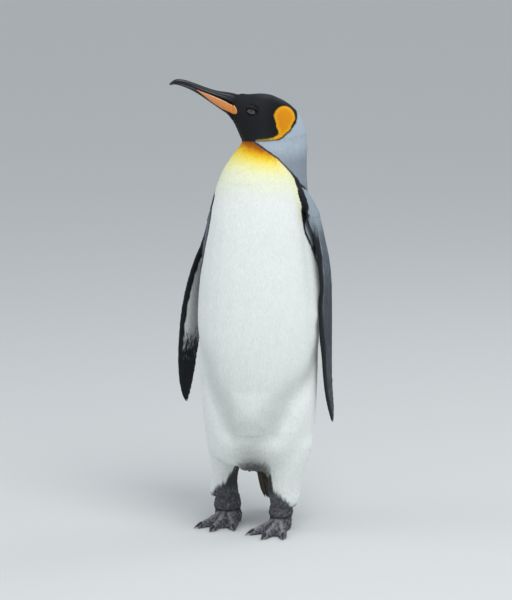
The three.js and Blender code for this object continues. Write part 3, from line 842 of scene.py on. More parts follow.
feather_finish, tree, shader = new_material("feather")
vane = named(tree, "vane", "Vector")
parts = Wire.node(tree, "ShaderNodeSeparateXYZ", {}, {0: vane})
across = parts.maths("ABSOLUTE")
along = Wire(tree, parts.socket.node.outputs[1])
tone = named(tree, "tone")
shaft = across.eased(0.16, 0.02)
tip = along.eased(0.45, 0.95)
stretched = Wire.node(tree, "ShaderNodeVectorMath", {"operation": "MULTIPLY"}, {0: vane, 1: (26, 5, 1)})
barbs = noise_on(tree, stretched, 1.0)
patchy = noise_on(tree, place_on(tree), 45.0, 3.0)
value = 0.85 + 0.07 * tone + 0.06 * tip + 0.07 * barbs + 0.04 * shaft + 0.06 * patchy
coloured(tree, shader, named(tree, "plumage", "Color"), value)
roughened(tree, shader, 0.50 + 0.16 * barbs)
embossed(tree, shader, barbs + 0.5 * shaft, 0.35, 0.4)
shader.inputs["Specular IOR Level"].default_value = 0.16
shader.inputs["Sheen Weight"].default_value = 0.02
shader.inputs["Sheen Roughness"].default_value = 0.4

skin_finish, tree, shader = new_material("skin")
to_edge = {"feature": "DISTANCE_TO_EDGE"}
cells = Wire.node(tree, "ShaderNodeTexVoronoi", to_edge, {"Vector": place_on(tree), "Scale": 330.0})
pores = noise_on(tree, place_on(tree), 900.0)
paleness = noise_on(tree, place_on(tree), 70.0, 4.0)
grain = cells.eased(0.0, 0.25)
value = 0.72 + 0.30 * grain + 0.45 * (paleness - 0.5)
coloured(tree, shader, named(tree, "plumage", "Color"), value)
roughened(tree, shader, 0.62 - 0.12 * grain)
embossed(tree, shader, grain + 0.3 * pores, 0.6, 0.6)
shader.inputs["Specular IOR Level"].default_value = 0.16


# ---------------------------------------------------------------- bill
# Two long horn mandibles, black and slightly glossy, closed along a meeting line that rises and then
# falls to a fine hooked tip. A groove runs forward from each nostril. Each is a smooth loft of rings.

# Rows from the gape to the tip in mm: the lower edge, the meeting line and the ridge, each as how far
# ahead and how high, then half the width.
BILL = [
    (76, 818, 65, 836, 52, 866, 15), (87, 831.5, 76.5, 851.3, 68, 871, 14),
    (99.9, 840.4, 90.5, 860, 84, 875, 11.5), (120.6, 854.9, 114, 869.5, 109, 879, 8.8),
    (141.3, 869.5, 136.5, 877.3, 132, 886.5, 6.8),
    (160, 880.5, 157, 885.8, 153, 894.5, 5.4), (178, 888.2, 176, 892.3, 173, 901, 4.4),
    (192, 891.8, 191, 894.6, 189.5, 902.2, 3.4), (203, 889.6, 202.6, 890.8, 202.2, 895, 1.6),
]
BILL_RINGS, BILL_ROUND = 110, 44
MEETING_GAP = -0.9  # the mandibles close tight
UPPER_FLATNESS, LOWER_FLATNESS, LOWER_SHARE = 0.12, 0.20, 0.94
SQUARENESS = 2.3
UPPER_END, LOWER_END = 8.0, 7.62  # the upper mandible hooks over the lower one
HORN_BLACK, HORN_BASE, HORN_PALE = paint(17, 19, 27), paint(7, 7, 9), paint(92, 95, 103)


def passed_through(rows, places):
    """Rows of numbers met at whole places, with a smooth course between them."""
    rows = np.array(rows, float)
    rows = np.concatenate([2 * rows[:1] - rows[1:2], rows, 2 * rows[-1:] - rows[-2:-1]])
    start = np.clip(np.floor(places).astype(int), 0, len(rows) - 4)
    part_way = (places - start)[..., None]
    one, two, three, four = (rows[start + step] for step in range(4))
    bend = 3 * (two - three) + four - one
    turn = 2 * one - 5 * two + 4 * three - four + part_way * bend
    return two + part_way / 2 * (three - one + part_way * turn)


def at_head(ahead, height, aside):
    """Places given as how far ahead, how high and how far to the head's left, in mm."""
    ahead, height, aside = np.broadcast_arrays(ahead, height, aside)
    place = neck_axis + MM * (ahead[..., None] * head_ahead + aside[..., None] * head_left)
    place[..., 2] += MM * height
    return place


def shaded_smooth(mesh):
    mesh.polygons.foreach_set("use_smooth", np.ones(len(mesh.polygons), bool))
    return mesh


def lofted(name, rings):
    """A closed piece over rings of points, drawn together to a point at each end."""
    count, around = rings.shape[:2]
    points = np.concatenate([rings.reshape(-1, 3), rings[:1].mean(1), rings[-1:].mean(1)])
    index = np.arange(count * around).reshape(count, around)
    beside = np.roll(index, -1, 1)
    faces = np.stack([index[:-1], beside[:-1], beside[1:], index[1:]], -1).reshape(-1, 4).tolist()
    faces += [(count * around, beside[0, i], index[0, i]) for i in range(around)]
    faces += [(count * around + 1, index[-1, i], beside[-1, i]) for i in range(around)]
    mesh = bpy.data.meshes.new(name)
    mesh.from_pydata(points.tolist(), [], faces)
    return new_piece(name, shaded_smooth(turned_out(mesh)))


def turned_out(mesh):
    """Points every face of a closed mesh outwards."""
    shape = bmesh.new()
    shape.from_mesh(mesh)
    bmesh.ops.recalc_face_normals(shape, faces=shape.faces)
    shape.to_mesh(mesh)
    shape.free()
    return mesh


def put(mesh, name, kind, domain, values):
    """Writes values to an attribute of the mesh."""
    if name in mesh.attributes:
        mesh.attributes.remove(mesh.attributes[name])
    field = {"FLOAT_COLOR": "color", "FLOAT_VECTOR": "vector", "FLOAT2": "vector"}.get(kind, "value")
    layer = mesh.attributes.new(name, kind, domain)
    dtype = np.int32 if kind == "INT" else np.float32
    layer.data.foreach_set(field, np.ascontiguousarray(values, dtype).ravel())


def with_alpha(colours):
    return np.concatenate([colours, np.ones((len(colours), 1))], 1)


def section(places, upper, out, aside_share, extra=0.0):
    """Places on a mandible: out from the meeting line as a share of its depth, and across."""
    low_s, low_z, meet_s, meet_z, ridge_s, ridge_z, half = np.moveaxis(passed_through(BILL, places), -1, 0)
    far_s, far_z = (ridge_s, ridge_z) if upper else (low_s, low_z)
    length = np.hypot(far_s - meet_s, far_z - meet_z)
    lift = (MEETING_GAP / 2 + out * (length - MEETING_GAP / 2)) / length
    half = half * (1 if upper else LOWER_SHARE)
    across = np.sign(aside_share) * np.maximum(half * np.abs(aside_share) + extra, 0)
    return at_head(meet_s + (far_s - meet_s) * lift, meet_z + (far_z - meet_z) * lift, across)


def mandible(name, upper):
    end = UPPER_END if upper else LOWER_END
    flatness = UPPER_FLATNESS if upper else LOWER_FLATNESS
    places = end * (1 - (1 - np.linspace(0, 1, BILL_RINGS)) ** 1.15)[:, None]
    angle = 2 * math.pi * (np.arange(BILL_ROUND) + 0.5) / BILL_ROUND
    along = np.sign(np.cos(angle)) * np.abs(np.cos(angle)) ** (2 / SQUARENESS)
    aside = np.sign(np.sin(angle)) * np.abs(np.sin(angle)) ** (2 / SQUARENESS)
    out = np.where(along > 0, flatness + (1 - flatness) * along, flatness * (1 + along))
    places, out, aside = np.broadcast_arrays(places, out, aside)
    middle = 0.42 + 0.10 * ease(1.5, 4, places) - 0.08 * ease(4.5, 6.5, places)
    groove = 0.95 * between(0.9, 1.8, 4.2, 6.4, places) * (upper & (np.abs(aside) > 0.3))
    groove = groove * np.exp(-(((out - middle) / 0.085) ** 2))
    piece = lofted(name, section(places, upper, out, aside, -groove))
    # The lower mandible's side pales along the mouth line towards the tip, and both tips pale.
    paleness = between(4.3, 5.0, 6.0, 6.9, places) * np.exp(-(((out - 0.36) / 0.20) ** 2))
    paleness = paleness * (0 if upper else 0.75) + 0.35 * ease(7.0, 7.9, places)
    paleness = np.concatenate([paleness.ravel(), paleness[0, :1], paleness[-1, :1]])
    base = ease(2.6, 0.6, np.append(places.ravel(), [0, end]))
    colour = laid(HORN_BLACK, HORN_BASE, base)
    put(piece.data, "horn", "FLOAT_COLOR", "POINT", with_alpha(laid(colour, HORN_PALE, paleness)))
    put(piece.data, "polish", "FLOAT", "POINT", 1 - base)
    return piece


horn_finish, tree, shader = new_material("horn")
stretched = Wire.node(tree, "ShaderNodeMapping", {}, {"Vector": place_on(tree), "Scale": (90, 190, 900)})
streaks = noise_on(tree, stretched, 1.0, 3.0)
scratches = noise_on(tree, place_on(tree), 160.0, 5.0)
value = 0.62 + 0.5 * streaks + 0.35 * scratches.eased(0.45, 0.75)
coloured(tree, shader, named(tree, "horn", "Color"), value)
polish = named(tree, "polish")
roughened(tree, shader, 0.72 - 0.44 * polish + 0.20 * scratches)
tree.links.new((0.25 * polish).socket, shader.inputs["Coat Weight"])
embossed(tree, shader, streaks + 0.6 * scratches, 0.25, 0.3)
shader.inputs["Specular IOR Level"].default_value = 0.3
shader.inputs["Coat Roughness"].default_value = 0.2

for name, upper in (("bill_upper_horn", True), ("bill_lower_horn", False)):
    piece = mandible(name, upper)
    piece.data.materials.append(horn_finish)
    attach(piece, "root")
    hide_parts(name.removesuffix("_horn"))


# ---------------------------------------------------------------- horn plates of the bill
# A smooth plate of orange horn lies along each side of the lower mandible, from the gape nearly to
# the tip. It is crowned, with a rounded rim painted pale, a painted highlight along its upper edge,
# and its rear end lies on the feathered cheek.

# Rows from the rear: the bill's row, and the plate's upper and lower edge as shares of its depth.
PLATE = [
    (0.28, 0.30, 0.38), (0.37, 0.18, 0.50), (0.56, 0.08, 0.64), (0.9, 0.01, 0.77), (1.4, 0.0, 0.86),
    (1.92, 0.05, 0.91), (2.48, 0.11, 0.92), (3.0, 0.10, 0.90), (3.46, 0.10, 0.80), (4.0, 0.12, 0.61),
    (4.35, 0.15, 0.42), (4.6, 0.19, 0.25),
]
PLATE_LONG, PLATE_ACROSS = 96, 22
PLATE_THICK = 1.3
WELL_OUTSIDE = 60  # mm aside of the head's middle, clear of everything
PLATE_FRONT, PLATE_HEEL, PLATE_RIM_PALE_AND_HIGHLIGHT = paint(216, 140, 84), paint(222, 134, 42), paint(244, 196, 148)


def search_tree(obj):
    return BVHTree.FromPolygons(
        [vertex.co.copy() for vertex in obj.data.vertices],
        [tuple(face.vertices) for face in obj.data.polygons],
    )


def reach_aside(trees, places, side):
    """How far to one side of the head's middle the outermost surface lies at each place, in mm."""
    start = places + side * WELL_OUTSIDE * MM * head_left
    found = []
    for point in start:
        hits = [search.ray_cast(Vector(point), Vector(-side * head_left))[3] for search in trees]
        nearest = min((hit for hit in hits if hit is not None), default=WELL_OUTSIDE * MM)
        found.append(WELL_OUTSIDE - nearest / MM)
    return np.array(found)


skin_tree = search_tree(skin)
lower_tree = search_tree(bpy.data.objects["bill_lower_horn"])
plate_finish, tree, shader = new_material("horn_plate")
stretched = Wire.node(tree, "ShaderNodeMapping", {}, {"Vector": place_on(tree), "Scale": (70, 150, 420)})
streaks = noise_on(tree, stretched, 1.0, 3.0)
mottle = noise_on(tree, place_on(tree), 140.0, 3.0)
value = 0.84 + 0.20 * streaks + 0.12 * mottle
coloured(tree, shader, named(tree, "horn", "Color"), value)
roughened(tree, shader, 0.30 + 0.15 * mottle)
embossed(tree, shader, streaks, 0.2, 0.3)
shader.inputs["Subsurface Weight"].default_value = 0.12
shader.inputs["Subsurface Radius"].default_value = (0.004, 0.0015, 0.0008)
shader.inputs["Coat Weight"].default_value = 0.2

for name, side in (("left", 1), ("right", -1)):
    along = np.linspace(0, 1, PLATE_LONG)[:, None]
    across = np.linspace(0, 1, PLATE_ACROSS)[None, :]
    rows = passed_through(PLATE, along * (len(PLATE) - 1))
    places, top, bottom = (np.broadcast_to(rows[..., i], (PLATE_LONG, PLATE_ACROSS)) for i in range(3))
    across = np.broadcast_to(across, places.shape)
    out = top + across * (bottom - top)
    flat = section(places, False, out, np.zeros(places.shape))
    aside = reach_aside([skin_tree, lower_tree], flat.reshape(-1, 3), side).reshape(places.shape)
    for _ in range(6):
        aside[1:-1] = aside[1:-1] + 0.25 * (aside[2:] + aside[:-2] - 2 * aside[1:-1])
        aside[:, 1:-1] = aside[:, 1:-1] + 0.25 * (aside[:, 2:] + aside[:, :-2] - 2 * aside[:, 1:-1])
    from_end = np.sin(math.pi * np.broadcast_to(along, across.shape)) * 2.4
    from_edge = np.minimum(np.sin(math.pi * across), from_end)
    crown = np.clip(from_edge * 2.2, 0, 1) ** 0.45
    inner_line = 0.14 * np.exp(-(((across - 0.17) / 0.04) ** 2)) * ease(0.02, 0.1, along)
    outer = flat + side * MM * (aside - 0.55 + 1.15 * crown - inner_line)[..., None] * head_left
    inner = flat + side * MM * (aside - PLATE_THICK - 0.3)[..., None] * head_left
    rings = np.concatenate([outer, inner[:, ::-1]], 1)
    piece = lofted(f"plate_{name}", rings)
    # The rim is painted pale: a painted highlight along the upper edge, and a pale rear end.
    rim = np.maximum(ease(0.20, 0.07, across), ease(0.05, 0.015, np.broadcast_to(along, across.shape)))
    forward = ease(0.15, 0.7, np.repeat(along, PLATE_ACROSS, 1)).ravel()
    tint = laid(PLATE_HEEL, PLATE_FRONT, forward)
    tint = laid(tint, PLATE_RIM_PALE_AND_HIGHLIGHT, 0.75 * rim.ravel()).reshape(*places.shape, 3)
    tint = np.concatenate([tint, tint[:, ::-1]], 1)
    tint = np.concatenate([tint.reshape(-1, 3), tint[0, :1], tint[-1, :1]])
    put(piece.data, "horn", "FLOAT_COLOR", "POINT", with_alpha(tint))
    piece.data.materials.append(plate_finish)
    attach(piece, "root")
    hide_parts(f"bill_plate_{name}")


# ---------------------------------------------------------------- eyes and lids
# Brown eyes under half-closed lids: a wet ball with a low cornea, a thick rim round an almond opening,
# a pale edge along the lower lid and soft folds that run out under the small feathers of the face.
OPENING = {"half_length": 8.5, "above": 3.3, "below": 4.2, "tilt": 16, "ahead": 1.5, "up": -0.4}
LID_SPREAD = (14.5, 12.0)  # how far the bare folds reach along and across
LID_ROUND, LID_STEPS = 84, 34
BALL_RINGS, BALL_ROUND = 60, 48
LID_CLEAR = 0.75  # the lids slide this far off the ball
PUPIL, IRIS = 0.19, 0.66  # radians from the ball's pole
PUPIL_BLACK, IRIS_INNER = paint(28, 22, 20), paint(80, 64, 53)
IRIS_OUTER, BALL_DARK = paint(76, 63, 56), paint(30, 26, 26)
LID_BLACK, LID_OUTER, LID_GREY, LID_PALE = (
    paint(15, 15, 17), paint(40, 41, 46), paint(40, 37, 38), paint(118, 108, 102),
)


def eye_ball(name, centre, radius, side):
    axis = side * math.cos(0.16) * head_left + math.sin(0.16) * head_ahead
    upright = np.array([0, 0, 1.0])
    level = np.cross(upright, axis)
    polar = np.linspace(0.02, math.pi - 0.02, BALL_RINGS)[:, None, None]
    turn = (2 * math.pi * np.arange(BALL_ROUND) / BALL_ROUND)[None, :, None]
    cornea = 1 + 0.035 * np.exp(-((polar / 0.42) ** 4))
    ring = np.sin(polar) * (np.cos(turn) * level + np.sin(turn) * upright) + np.cos(polar) * axis
    piece = lofted(name, centre + radius * cornea * ring)
    angle = np.append(np.repeat(polar.ravel(), BALL_ROUND), [0, math.pi])
    iris = laid(IRIS_INNER, IRIS_OUTER, ease(0.25, 0.6, angle))
    colour = laid(BALL_DARK, iris, ease(IRIS + 0.05, IRIS - 0.02, angle))
    colour = laid(colour, PUPIL_BLACK, ease(PUPIL + 0.03, PUPIL - 0.02, angle))
    put(piece.data, "ball", "FLOAT_COLOR", "POINT", with_alpha(colour))
    return piece


def bulge_terms(ahead, up):
    return [np.ones_like(ahead), ahead, up, ahead**2, ahead * up, up**2]


def flesh_over_eye(own, ahead, up, side):
    """How far aside the flesh would lie over the eye: a smooth bulge fitted to the skin round it."""
    turn, out = np.meshgrid(np.linspace(0, 2 * math.pi, 24, endpoint=False), [12.5, 14, 16])
    ring_ahead, ring_up = (out * np.cos(turn)).ravel(), (out * np.sin(turn)).ravel()
    found = reach_aside([skin_tree], at_head(own[0] + ring_ahead, own[1] + ring_up, 0.0 * ring_up), side)
    weights = np.linalg.lstsq(np.stack(bulge_terms(ring_ahead, ring_up), 1), found, rcond=None)[0]
    return sum(weight * term for weight, term in zip(weights, bulge_terms(ahead, up)))


def lid_colour(share, lower):
    """Black folds with a grey ridge among them, and a pale edge along the lower lid."""
    colour = laid(LID_BLACK, LID_OUTER, (ease(0.30, 0.65, share) * (1 - 0.6 * lower)).ravel())
    colour = laid(colour, LID_GREY, (np.exp(-(((share - 0.29) / 0.07) ** 2)) * (0.35 + 0.65 * lower)).ravel())
    colour = laid(colour, LID_GREY, (0.8 * ease(0.11, 0.07, share) * (1 - lower)).ravel())
    pale = between(-0.02, 0.015, 0.09, 0.13, share) * ease(0.15, 0.6, lower)
    return laid(colour, LID_PALE, pale.ravel()).reshape(*share.shape, 3)


def eye_lids(name, centre, radius, side):
    turn = 2 * math.pi * np.arange(LID_ROUND) / LID_ROUND
    sine, cosine = np.sin(turn), np.cos(turn)
    drop = np.where(sine > 0, OPENING["above"], OPENING["below"]) * sine * np.abs(sine) ** 0.22
    inside = np.stack([OPENING["half_length"] * cosine, drop], 1)
    outside = np.stack([LID_SPREAD[0] * cosine, LID_SPREAD[1] * sine], 1)
    tilt = math.radians(OPENING["tilt"])
    steps = np.concatenate([np.linspace(-0.10, 0, 4)[:-1], np.linspace(0, 1, LID_STEPS) ** 1.25])
    spread = inside + np.clip(steps, -0.1, None)[:, None, None] * (outside - inside)
    ahead = OPENING["ahead"] + spread[..., 0] * math.cos(tilt) - spread[..., 1] * math.sin(tilt)
    up = OPENING["up"] + spread[..., 0] * math.sin(tilt) + spread[..., 1] * math.cos(tilt)
    own = (centre - neck_axis) @ head_ahead / MM, centre[2] / MM, abs((centre - neck_axis) @ head_left) / MM
    ball = own[2] + np.sqrt(np.maximum((radius / MM + LID_CLEAR) ** 2 - ahead**2 - up**2, 9.0))
    flesh = flesh_over_eye(own, ahead, up, side)
    share = np.broadcast_to(steps[:, None], ahead.shape)
    level = ball + ease(0.22, 0.85, share) * (flesh + 0.5 - ball)
    upper = np.clip(np.broadcast_to(sine, share.shape), 0, 1)
    lower = np.clip(-np.broadcast_to(sine, share.shape), 0, 1)
    level += 0.50 * np.exp(-(((share - 0.05) / 0.045) ** 2))
    level -= (0.55 + 0.25 * lower) * np.exp(-(((share - 0.17) / 0.05) ** 2))
    level += (0.30 + 0.45 * lower) * np.exp(-(((share - 0.29) / 0.06) ** 2))
    level -= 0.55 * lower * np.exp(-(((share - 0.41) / 0.05) ** 2))
    level += 1.5 * upper**0.7 * np.exp(-(((share - 0.42) / 0.17) ** 2))
    level += 0.10 * np.sin(14 * turn + 9 * share) * ease(0.08, 0.3, share)
    level -= 1.6 * ease(0.03, -0.1, share) + 1.3 * ease(0.85, 1.0, share)
    over_ball = (share > 0.03) & (np.hypot(ahead, up) < radius / MM)
    level = np.where(over_ball, np.maximum(level, ball - 0.1), level)
    top = at_head(own[0] + ahead, own[1] + up, side * level)
    under = at_head(own[0] + ahead, own[1] + up, side * (np.minimum(level, ball + 3) - 1.5))
    loop = np.concatenate([top, under[::-1]])
    count, around = loop.shape[:2]
    index = np.arange(count * around).reshape(count, around)
    beside, beyond = np.roll(index, -1, 1), np.roll(index, -1, 0)
    faces = np.stack([index, beside, np.roll(beside, -1, 0), beyond], -1).reshape(-1, 4).tolist()
    mesh = bpy.data.meshes.new(name)
    mesh.from_pydata(loop.reshape(-1, 3).tolist(), [], faces)
    piece = new_piece(name, shaded_smooth(turned_out(mesh)))
    colour = lid_colour(share, lower)
    colour = np.concatenate([colour, colour[::-1]]).reshape(-1, 3)
    put(mesh, "lid", "FLOAT_COLOR", "POINT", with_alpha(colour))
    return piece


ball_finish, tree, shader = new_material("eye")
fibres = noise_on(tree, place_on(tree), 900.0, 3.0)
coloured(tree, shader, named(tree, "ball", "Color"), 0.7 + 0.6 * fibres)
shader.inputs["Roughness"].default_value = 0.12
shader.inputs["Coat Weight"].default_value = 0.35
shader.inputs["Coat Roughness"].default_value = 0.03

lid_finish, tree, shader = new_material("lid")
papillae = Wire.node(tree, "ShaderNodeTexVoronoi", {}, {"Vector": place_on(tree), "Scale": 1300.0})
creased = noise_on(tree, place_on(tree), 420.0, 4.0)
value = 0.70 + 0.25 * papillae + 0.40 * creased
coloured(tree, shader, named(tree, "lid", "Color"), value)
roughened(tree, shader, 0.62 + 0.25 * creased)
embossed(tree, shader, creased - 0.5 * papillae, 0.5, 0.3)
shader.inputs["Specular IOR Level"].default_value = 0.08

for name, side in (("left", 1), ("right", -1)):
    low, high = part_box(f"eye_{name}")
    centre = node_middle(f"eye_{name}")
    radius = (high[2] - low[2]) / 2
    ball = eye_ball(f"ball_{name}", centre, radius, side)
    ball.data.materials.append(ball_finish)
    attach(ball, "root")
    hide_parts(f"eye_{name}")
    lids = eye_lids(f"lids_{name}", centre, radius, side)
    lids.data.materials.append(lid_finish)
    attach(lids, "root")


# ---------------------------------------------------------------- coat
# Each feather is one thin closed vane, rooted in the skin and lying back over the next, and the
# scales of the feet are the same vane, short and broad. The coat is made in lots, each of one
# spacing, laid by one tree of nodes.
COAT_FEATHER = {"flat": 0.42, "arch": 0.030, "body": 0.022}  # shares of a feather's length
HORN_CLEAR = 1.2 * MM
EYE_CLEAR = (9.9, 6.6)  # mm along and across the eye that stay bare
SOLE = 2.5 * MM
HANG = 0.30  # how far hanging feathers stand out, in radians
UV_PATCH = 0.003
VANE_CORNERS = 8


def vane_pattern():
    """One vane, a unit long: its root at the origin, running along Y, with a ridge down its middle."""
    half, arch, body = COAT_FEATHER["flat"] / 2, COAT_FEATHER["arch"], COAT_FEATHER["body"]
    points = [
        (0, 0, -0.03),
        (-half, 0.34, arch * 0.3), (0, 0.32, arch + body), (half, 0.34, arch * 0.3),
        (-half * 0.82, 0.78, 0.0), (0, 0.76, arch * 0.6 + body), (half * 0.82, 0.78, 0.0),
        (0, 1.0, -0.01),
    ]
    faces = [
        (0, 2, 1), (0, 3, 2), (1, 2, 5), (1, 5, 4), (2, 3, 6), (2, 6, 5), (4, 5, 7), (5, 6, 7),
        (0, 1, 3), (1, 4, 6), (1, 6, 3), (4, 7, 6),
    ]
    mesh = bpy.data.meshes.new("vane")
    mesh.from_pydata(points, [], faces)
    turned_out(mesh)
    places = mesh.attributes.new("vane", "FLOAT_VECTOR", "POINT")
    flat = np.array([(x / half, y, 0) for x, y, _ in points], np.float32)
    places.data.foreach_set("vector", flat.ravel())
    return new_piece("vane", mesh)


def coat_tree():
    """Vanes on the skin's faces of one lot, their roots a set spacing apart."""
    tree = bpy.data.node_groups.new("coat", "GeometryNodeTree")
    kinds = {
        "Skin": "Geometry", "Lot": "Int", "Spacing": "Float", "Lift": "Float", "Slimness": "Float",
        "Seed": "Int", "Vane": "Object", "Finish": "Material",
    }
    for name, kind in kinds.items():
        tree.interface.new_socket(name, in_out="INPUT", socket_type=f"NodeSocket{kind}")
    tree.interface.new_socket("Coat", in_out="OUTPUT", socket_type="NodeSocketGeometry")
    given = {name: Wire.node(tree, "NodeGroupInput", output=name) for name in kinds}

    def attribute(name, kind):
        return Wire.node(tree, "GeometryNodeInputNamedAttribute", {"data_type": kind}, {"Name": name})

    def scattered(low, high, seed):
        sockets = {2: low, 3: high, "Seed": given["Seed"] + seed}
        return Wire.node(tree, "FunctionNodeRandomValue", {"data_type": "FLOAT"}, sockets, 1)

    def kept(geometry, name, kind, value, domain="POINT"):
        settings = {"data_type": kind, "domain": domain}
        sockets = {"Geometry": geometry, "Name": name, "Value": value}
        return Wire.node(tree, "GeometryNodeStoreNamedAttribute", settings, sockets)

    in_lot = Wire.node(
        tree, "FunctionNodeCompare", {"data_type": "INT", "operation": "EQUAL"},
        {2: attribute("lot", "INT"), 3: given["Lot"]},
    )
    spread = Wire.node(
        tree, "GeometryNodeDistributePointsOnFaces", {"distribute_method": "POISSON"},
        {"Mesh": given["Skin"], "Selection": in_lot, "Distance Min": given["Spacing"],
         "Density Max": 3.0 / (given["Spacing"] * given["Spacing"]), "Seed": given["Seed"]},
    )
    normal = Wire(tree, spread.socket.node.outputs["Normal"])
    place = Wire.node(tree, "GeometryNodeInputPosition")
    roots = kept(spread, "root", "FLOAT_VECTOR", place)
    roots = kept(roots, "root_normal", "FLOAT_VECTOR", normal)
    roots = kept(roots, "tone", "FLOAT", scattered(0.0, 1.0, 1))
    aim = Wire.node(
        tree, "FunctionNodeAxesToRotation", {"primary_axis": "Z", "secondary_axis": "Y"},
        {
            "Primary Axis": attribute("root_normal", "FLOAT_VECTOR"),
            "Secondary Axis": attribute("lie", "FLOAT_VECTOR"),
        },
    )
    hang = HANG * attribute("hanging", "FLOAT") * scattered(0.3, 1.5, 6)
    tilt = given["Lift"] * scattered(0.7, 1.3, 2) + hang
    lean = Wire.node(
        tree, "ShaderNodeCombineXYZ", {},
        {0: tilt, 1: scattered(-0.035, 0.035, 3), 2: scattered(-0.11, 0.11, 4)},
    )
    lean = Wire.node(tree, "FunctionNodeEulerToRotation", {}, {0: lean})
    aim = Wire.node(tree, "FunctionNodeRotateRotation", {"rotation_space": "LOCAL"}, {0: aim, 1: lean})
    length = attribute("length", "FLOAT") * scattered(0.86, 1.14, 5)
    scale = Wire.node(tree, "ShaderNodeCombineXYZ", {}, {0: length * given["Slimness"], 1: length, 2: length})
    vane = Wire.node(tree, "GeometryNodeObjectInfo", {}, {"Object": given["Vane"]}, "Geometry")
    coat = Wire.node(
        tree, "GeometryNodeInstanceOnPoints", {},
        {"Points": roots, "Instance": vane, "Rotation": aim, "Scale": scale},
    )
    coat = Wire.node(tree, "GeometryNodeRealizeInstances", {}, {"Geometry": coat})
    coat = Wire.node(tree, "GeometryNodeSetMaterial", {}, {"Geometry": coat, "Material": given["Finish"]})
    result = tree.nodes.new("NodeGroupOutput")
    tree.links.new(coat.socket, result.inputs["Coat"])
    return tree


def dress(mesh, points, normals, part):
    """Gives a mesh the plumage colour of the places where its corners lie."""
    put(mesh, "plumage", "FLOAT_COLOR", "POINT", with_alpha(plumage(points, normals, part)))


skin_normals = read(skin_mesh.vertices, "normal", 3)
dress(skin_mesh, skin_points, skin_normals, skin_part)
put(skin_mesh, "lie", "FLOAT_VECTOR", "POINT", lie(skin_points, skin_normals, skin_part))
put(skin_mesh, "length", "FLOAT", "POINT", feather_length(skin_points, skin_part))
put(skin_mesh, "hanging", "FLOAT", "POINT", hanging(skin_points, skin_part))

# Each lot: where it lies on the skin, the spacing of its roots in mm, how far its feathers stand off
# the skin in radians, their width against the usual, and a name for its finish.
face_middle = read(skin_mesh.polygons, "center", 3)
face_part = nearest_flesh(face_middle)
face_bearing, _ = round_trunk(face_middle)
face_aside = in_head(face_middle)[2]
high = face_middle[:, 2]
regions = ("head", "neck", "trunk", "tail", "flipper", "leg", "foot")
is_part = {name: by_part(face_part, {name: 1}) > 0 for name in regions}
on_body = is_part["trunk"] | is_part["neck"] | is_part["tail"]
in_front = np.abs(face_bearing) < 88
scaly = bare_shank(face_middle, face_part) > 0.5
LOTS = {
    "coat_head_left": (is_part["head"] & (face_aside >= 0), 1.2, 0.05, 1.2, "feather_black"),
    "coat_head_right": (is_part["head"] & (face_aside < 0), 1.2, 0.05, 1.2, "feather_black"),
    "coat_neck": (on_body & (high > 0.70), 1.8, 0.028, 1.0, "feather_grey"),
    "coat_breast": (on_body & (high <= 0.70) & (high > 0.42) & in_front, 2.2, 0.025, 1.0, "feather_white"),
    "coat_belly": (on_body & (high <= 0.42) & in_front, 2.2, 0.03, 1.0, "feather_white"),
    "coat_back": (on_body & (high <= 0.70) & (high > 0.42) & ~in_front, 2.3, 0.04, 1.0, "feather_grey"),
    "coat_rump": (on_body & (high <= 0.42) & ~in_front, 2.4, 0.04, 1.0, "feather_grey"),
    "coat_flipper_left": (is_part["flipper"] & (face_middle[:, 0] > 0), 1.8, 0.06, 1.1, "feather_grey"),
    "coat_flipper_right": (is_part["flipper"] & (face_middle[:, 0] < 0), 1.8, 0.06, 1.1, "feather_grey"),
    "coat_legs": (is_part["leg"] & ~scaly, 2.1, 0.045, 0.95, "feather_white"),
    "scales_feet": (scaly & (high > SOLE), 1.7, 0.03, 1.7, "foot_skin"),
}
lot_number = np.zeros(len(face_middle), int)
for number, (where, *_) in enumerate(LOTS.values(), 1):
    lot_number[where] = number

# No feather grows under horn or over an eye.
horns = ("bill_upper_horn", "bill_lower_horn", "plate_left", "plate_right")
horn_trees = [search_tree(bpy.data.objects[name]) for name in horns]
near_bill = np.flatnonzero(face_middle @ head_ahead > (neck_axis + 60 * MM * head_ahead) @ head_ahead)
bare = [
    min(search.find_nearest(Vector(point))[3] for search in horn_trees) < HORN_CLEAR
    for point in face_middle[near_bill]
]
lot_number[near_bill[bare]] = 0
tilt = math.radians(OPENING["tilt"])
face_lie = lie(face_middle, read(skin_mesh.polygons, "normal", 3), face_part)
face_length = feather_length(face_middle, face_part)
for share in (0.0, 0.5, 0.9):
    ahead, height, _ = in_head(face_middle + (share * face_length)[:, None] * face_lie)
    ahead, height = ahead - EYE_AHEAD - OPENING["ahead"] * MM, height - eyes_middle[2] - OPENING["up"] * MM
    along = ahead * math.cos(tilt) + height * math.sin(tilt)
    across = height * math.cos(tilt) - ahead * math.sin(tilt)
    over_eye = np.hypot(along / EYE_CLEAR[0], across / EYE_CLEAR[1]) < MM
    lot_number[over_eye & is_part["head"]] = 0
put(skin_mesh, "lot", "INT", "FACE", lot_number)


def unwrapped(points, normals, part):
    """A place for each root on a flat unwrap of the skin: round the body, and up it. A flipper's two
    faces lie side by side."""
    bearing, _ = round_trunk(points)
    round_body = (bearing + 180) / 360
    wing = by_part(part, {"flipper": 1.0}) > 0
    outer = np.sign(points[:, 0] - trunk_axis[0]) * normals[:, 0] > 0
    low, high = points.min(0), points.max(0)
    chord = (points[:, 1] - low[1]) / (high[1] - low[1] + MM)
    sideways = np.where(wing, 0.5 * chord + 0.5 * outer, round_body)
    upwards = (points[:, 2] - low[2]) / (high[2] - low[2] + MM)
    return 0.01 + 0.98 * np.stack([sideways, upwards], 1)


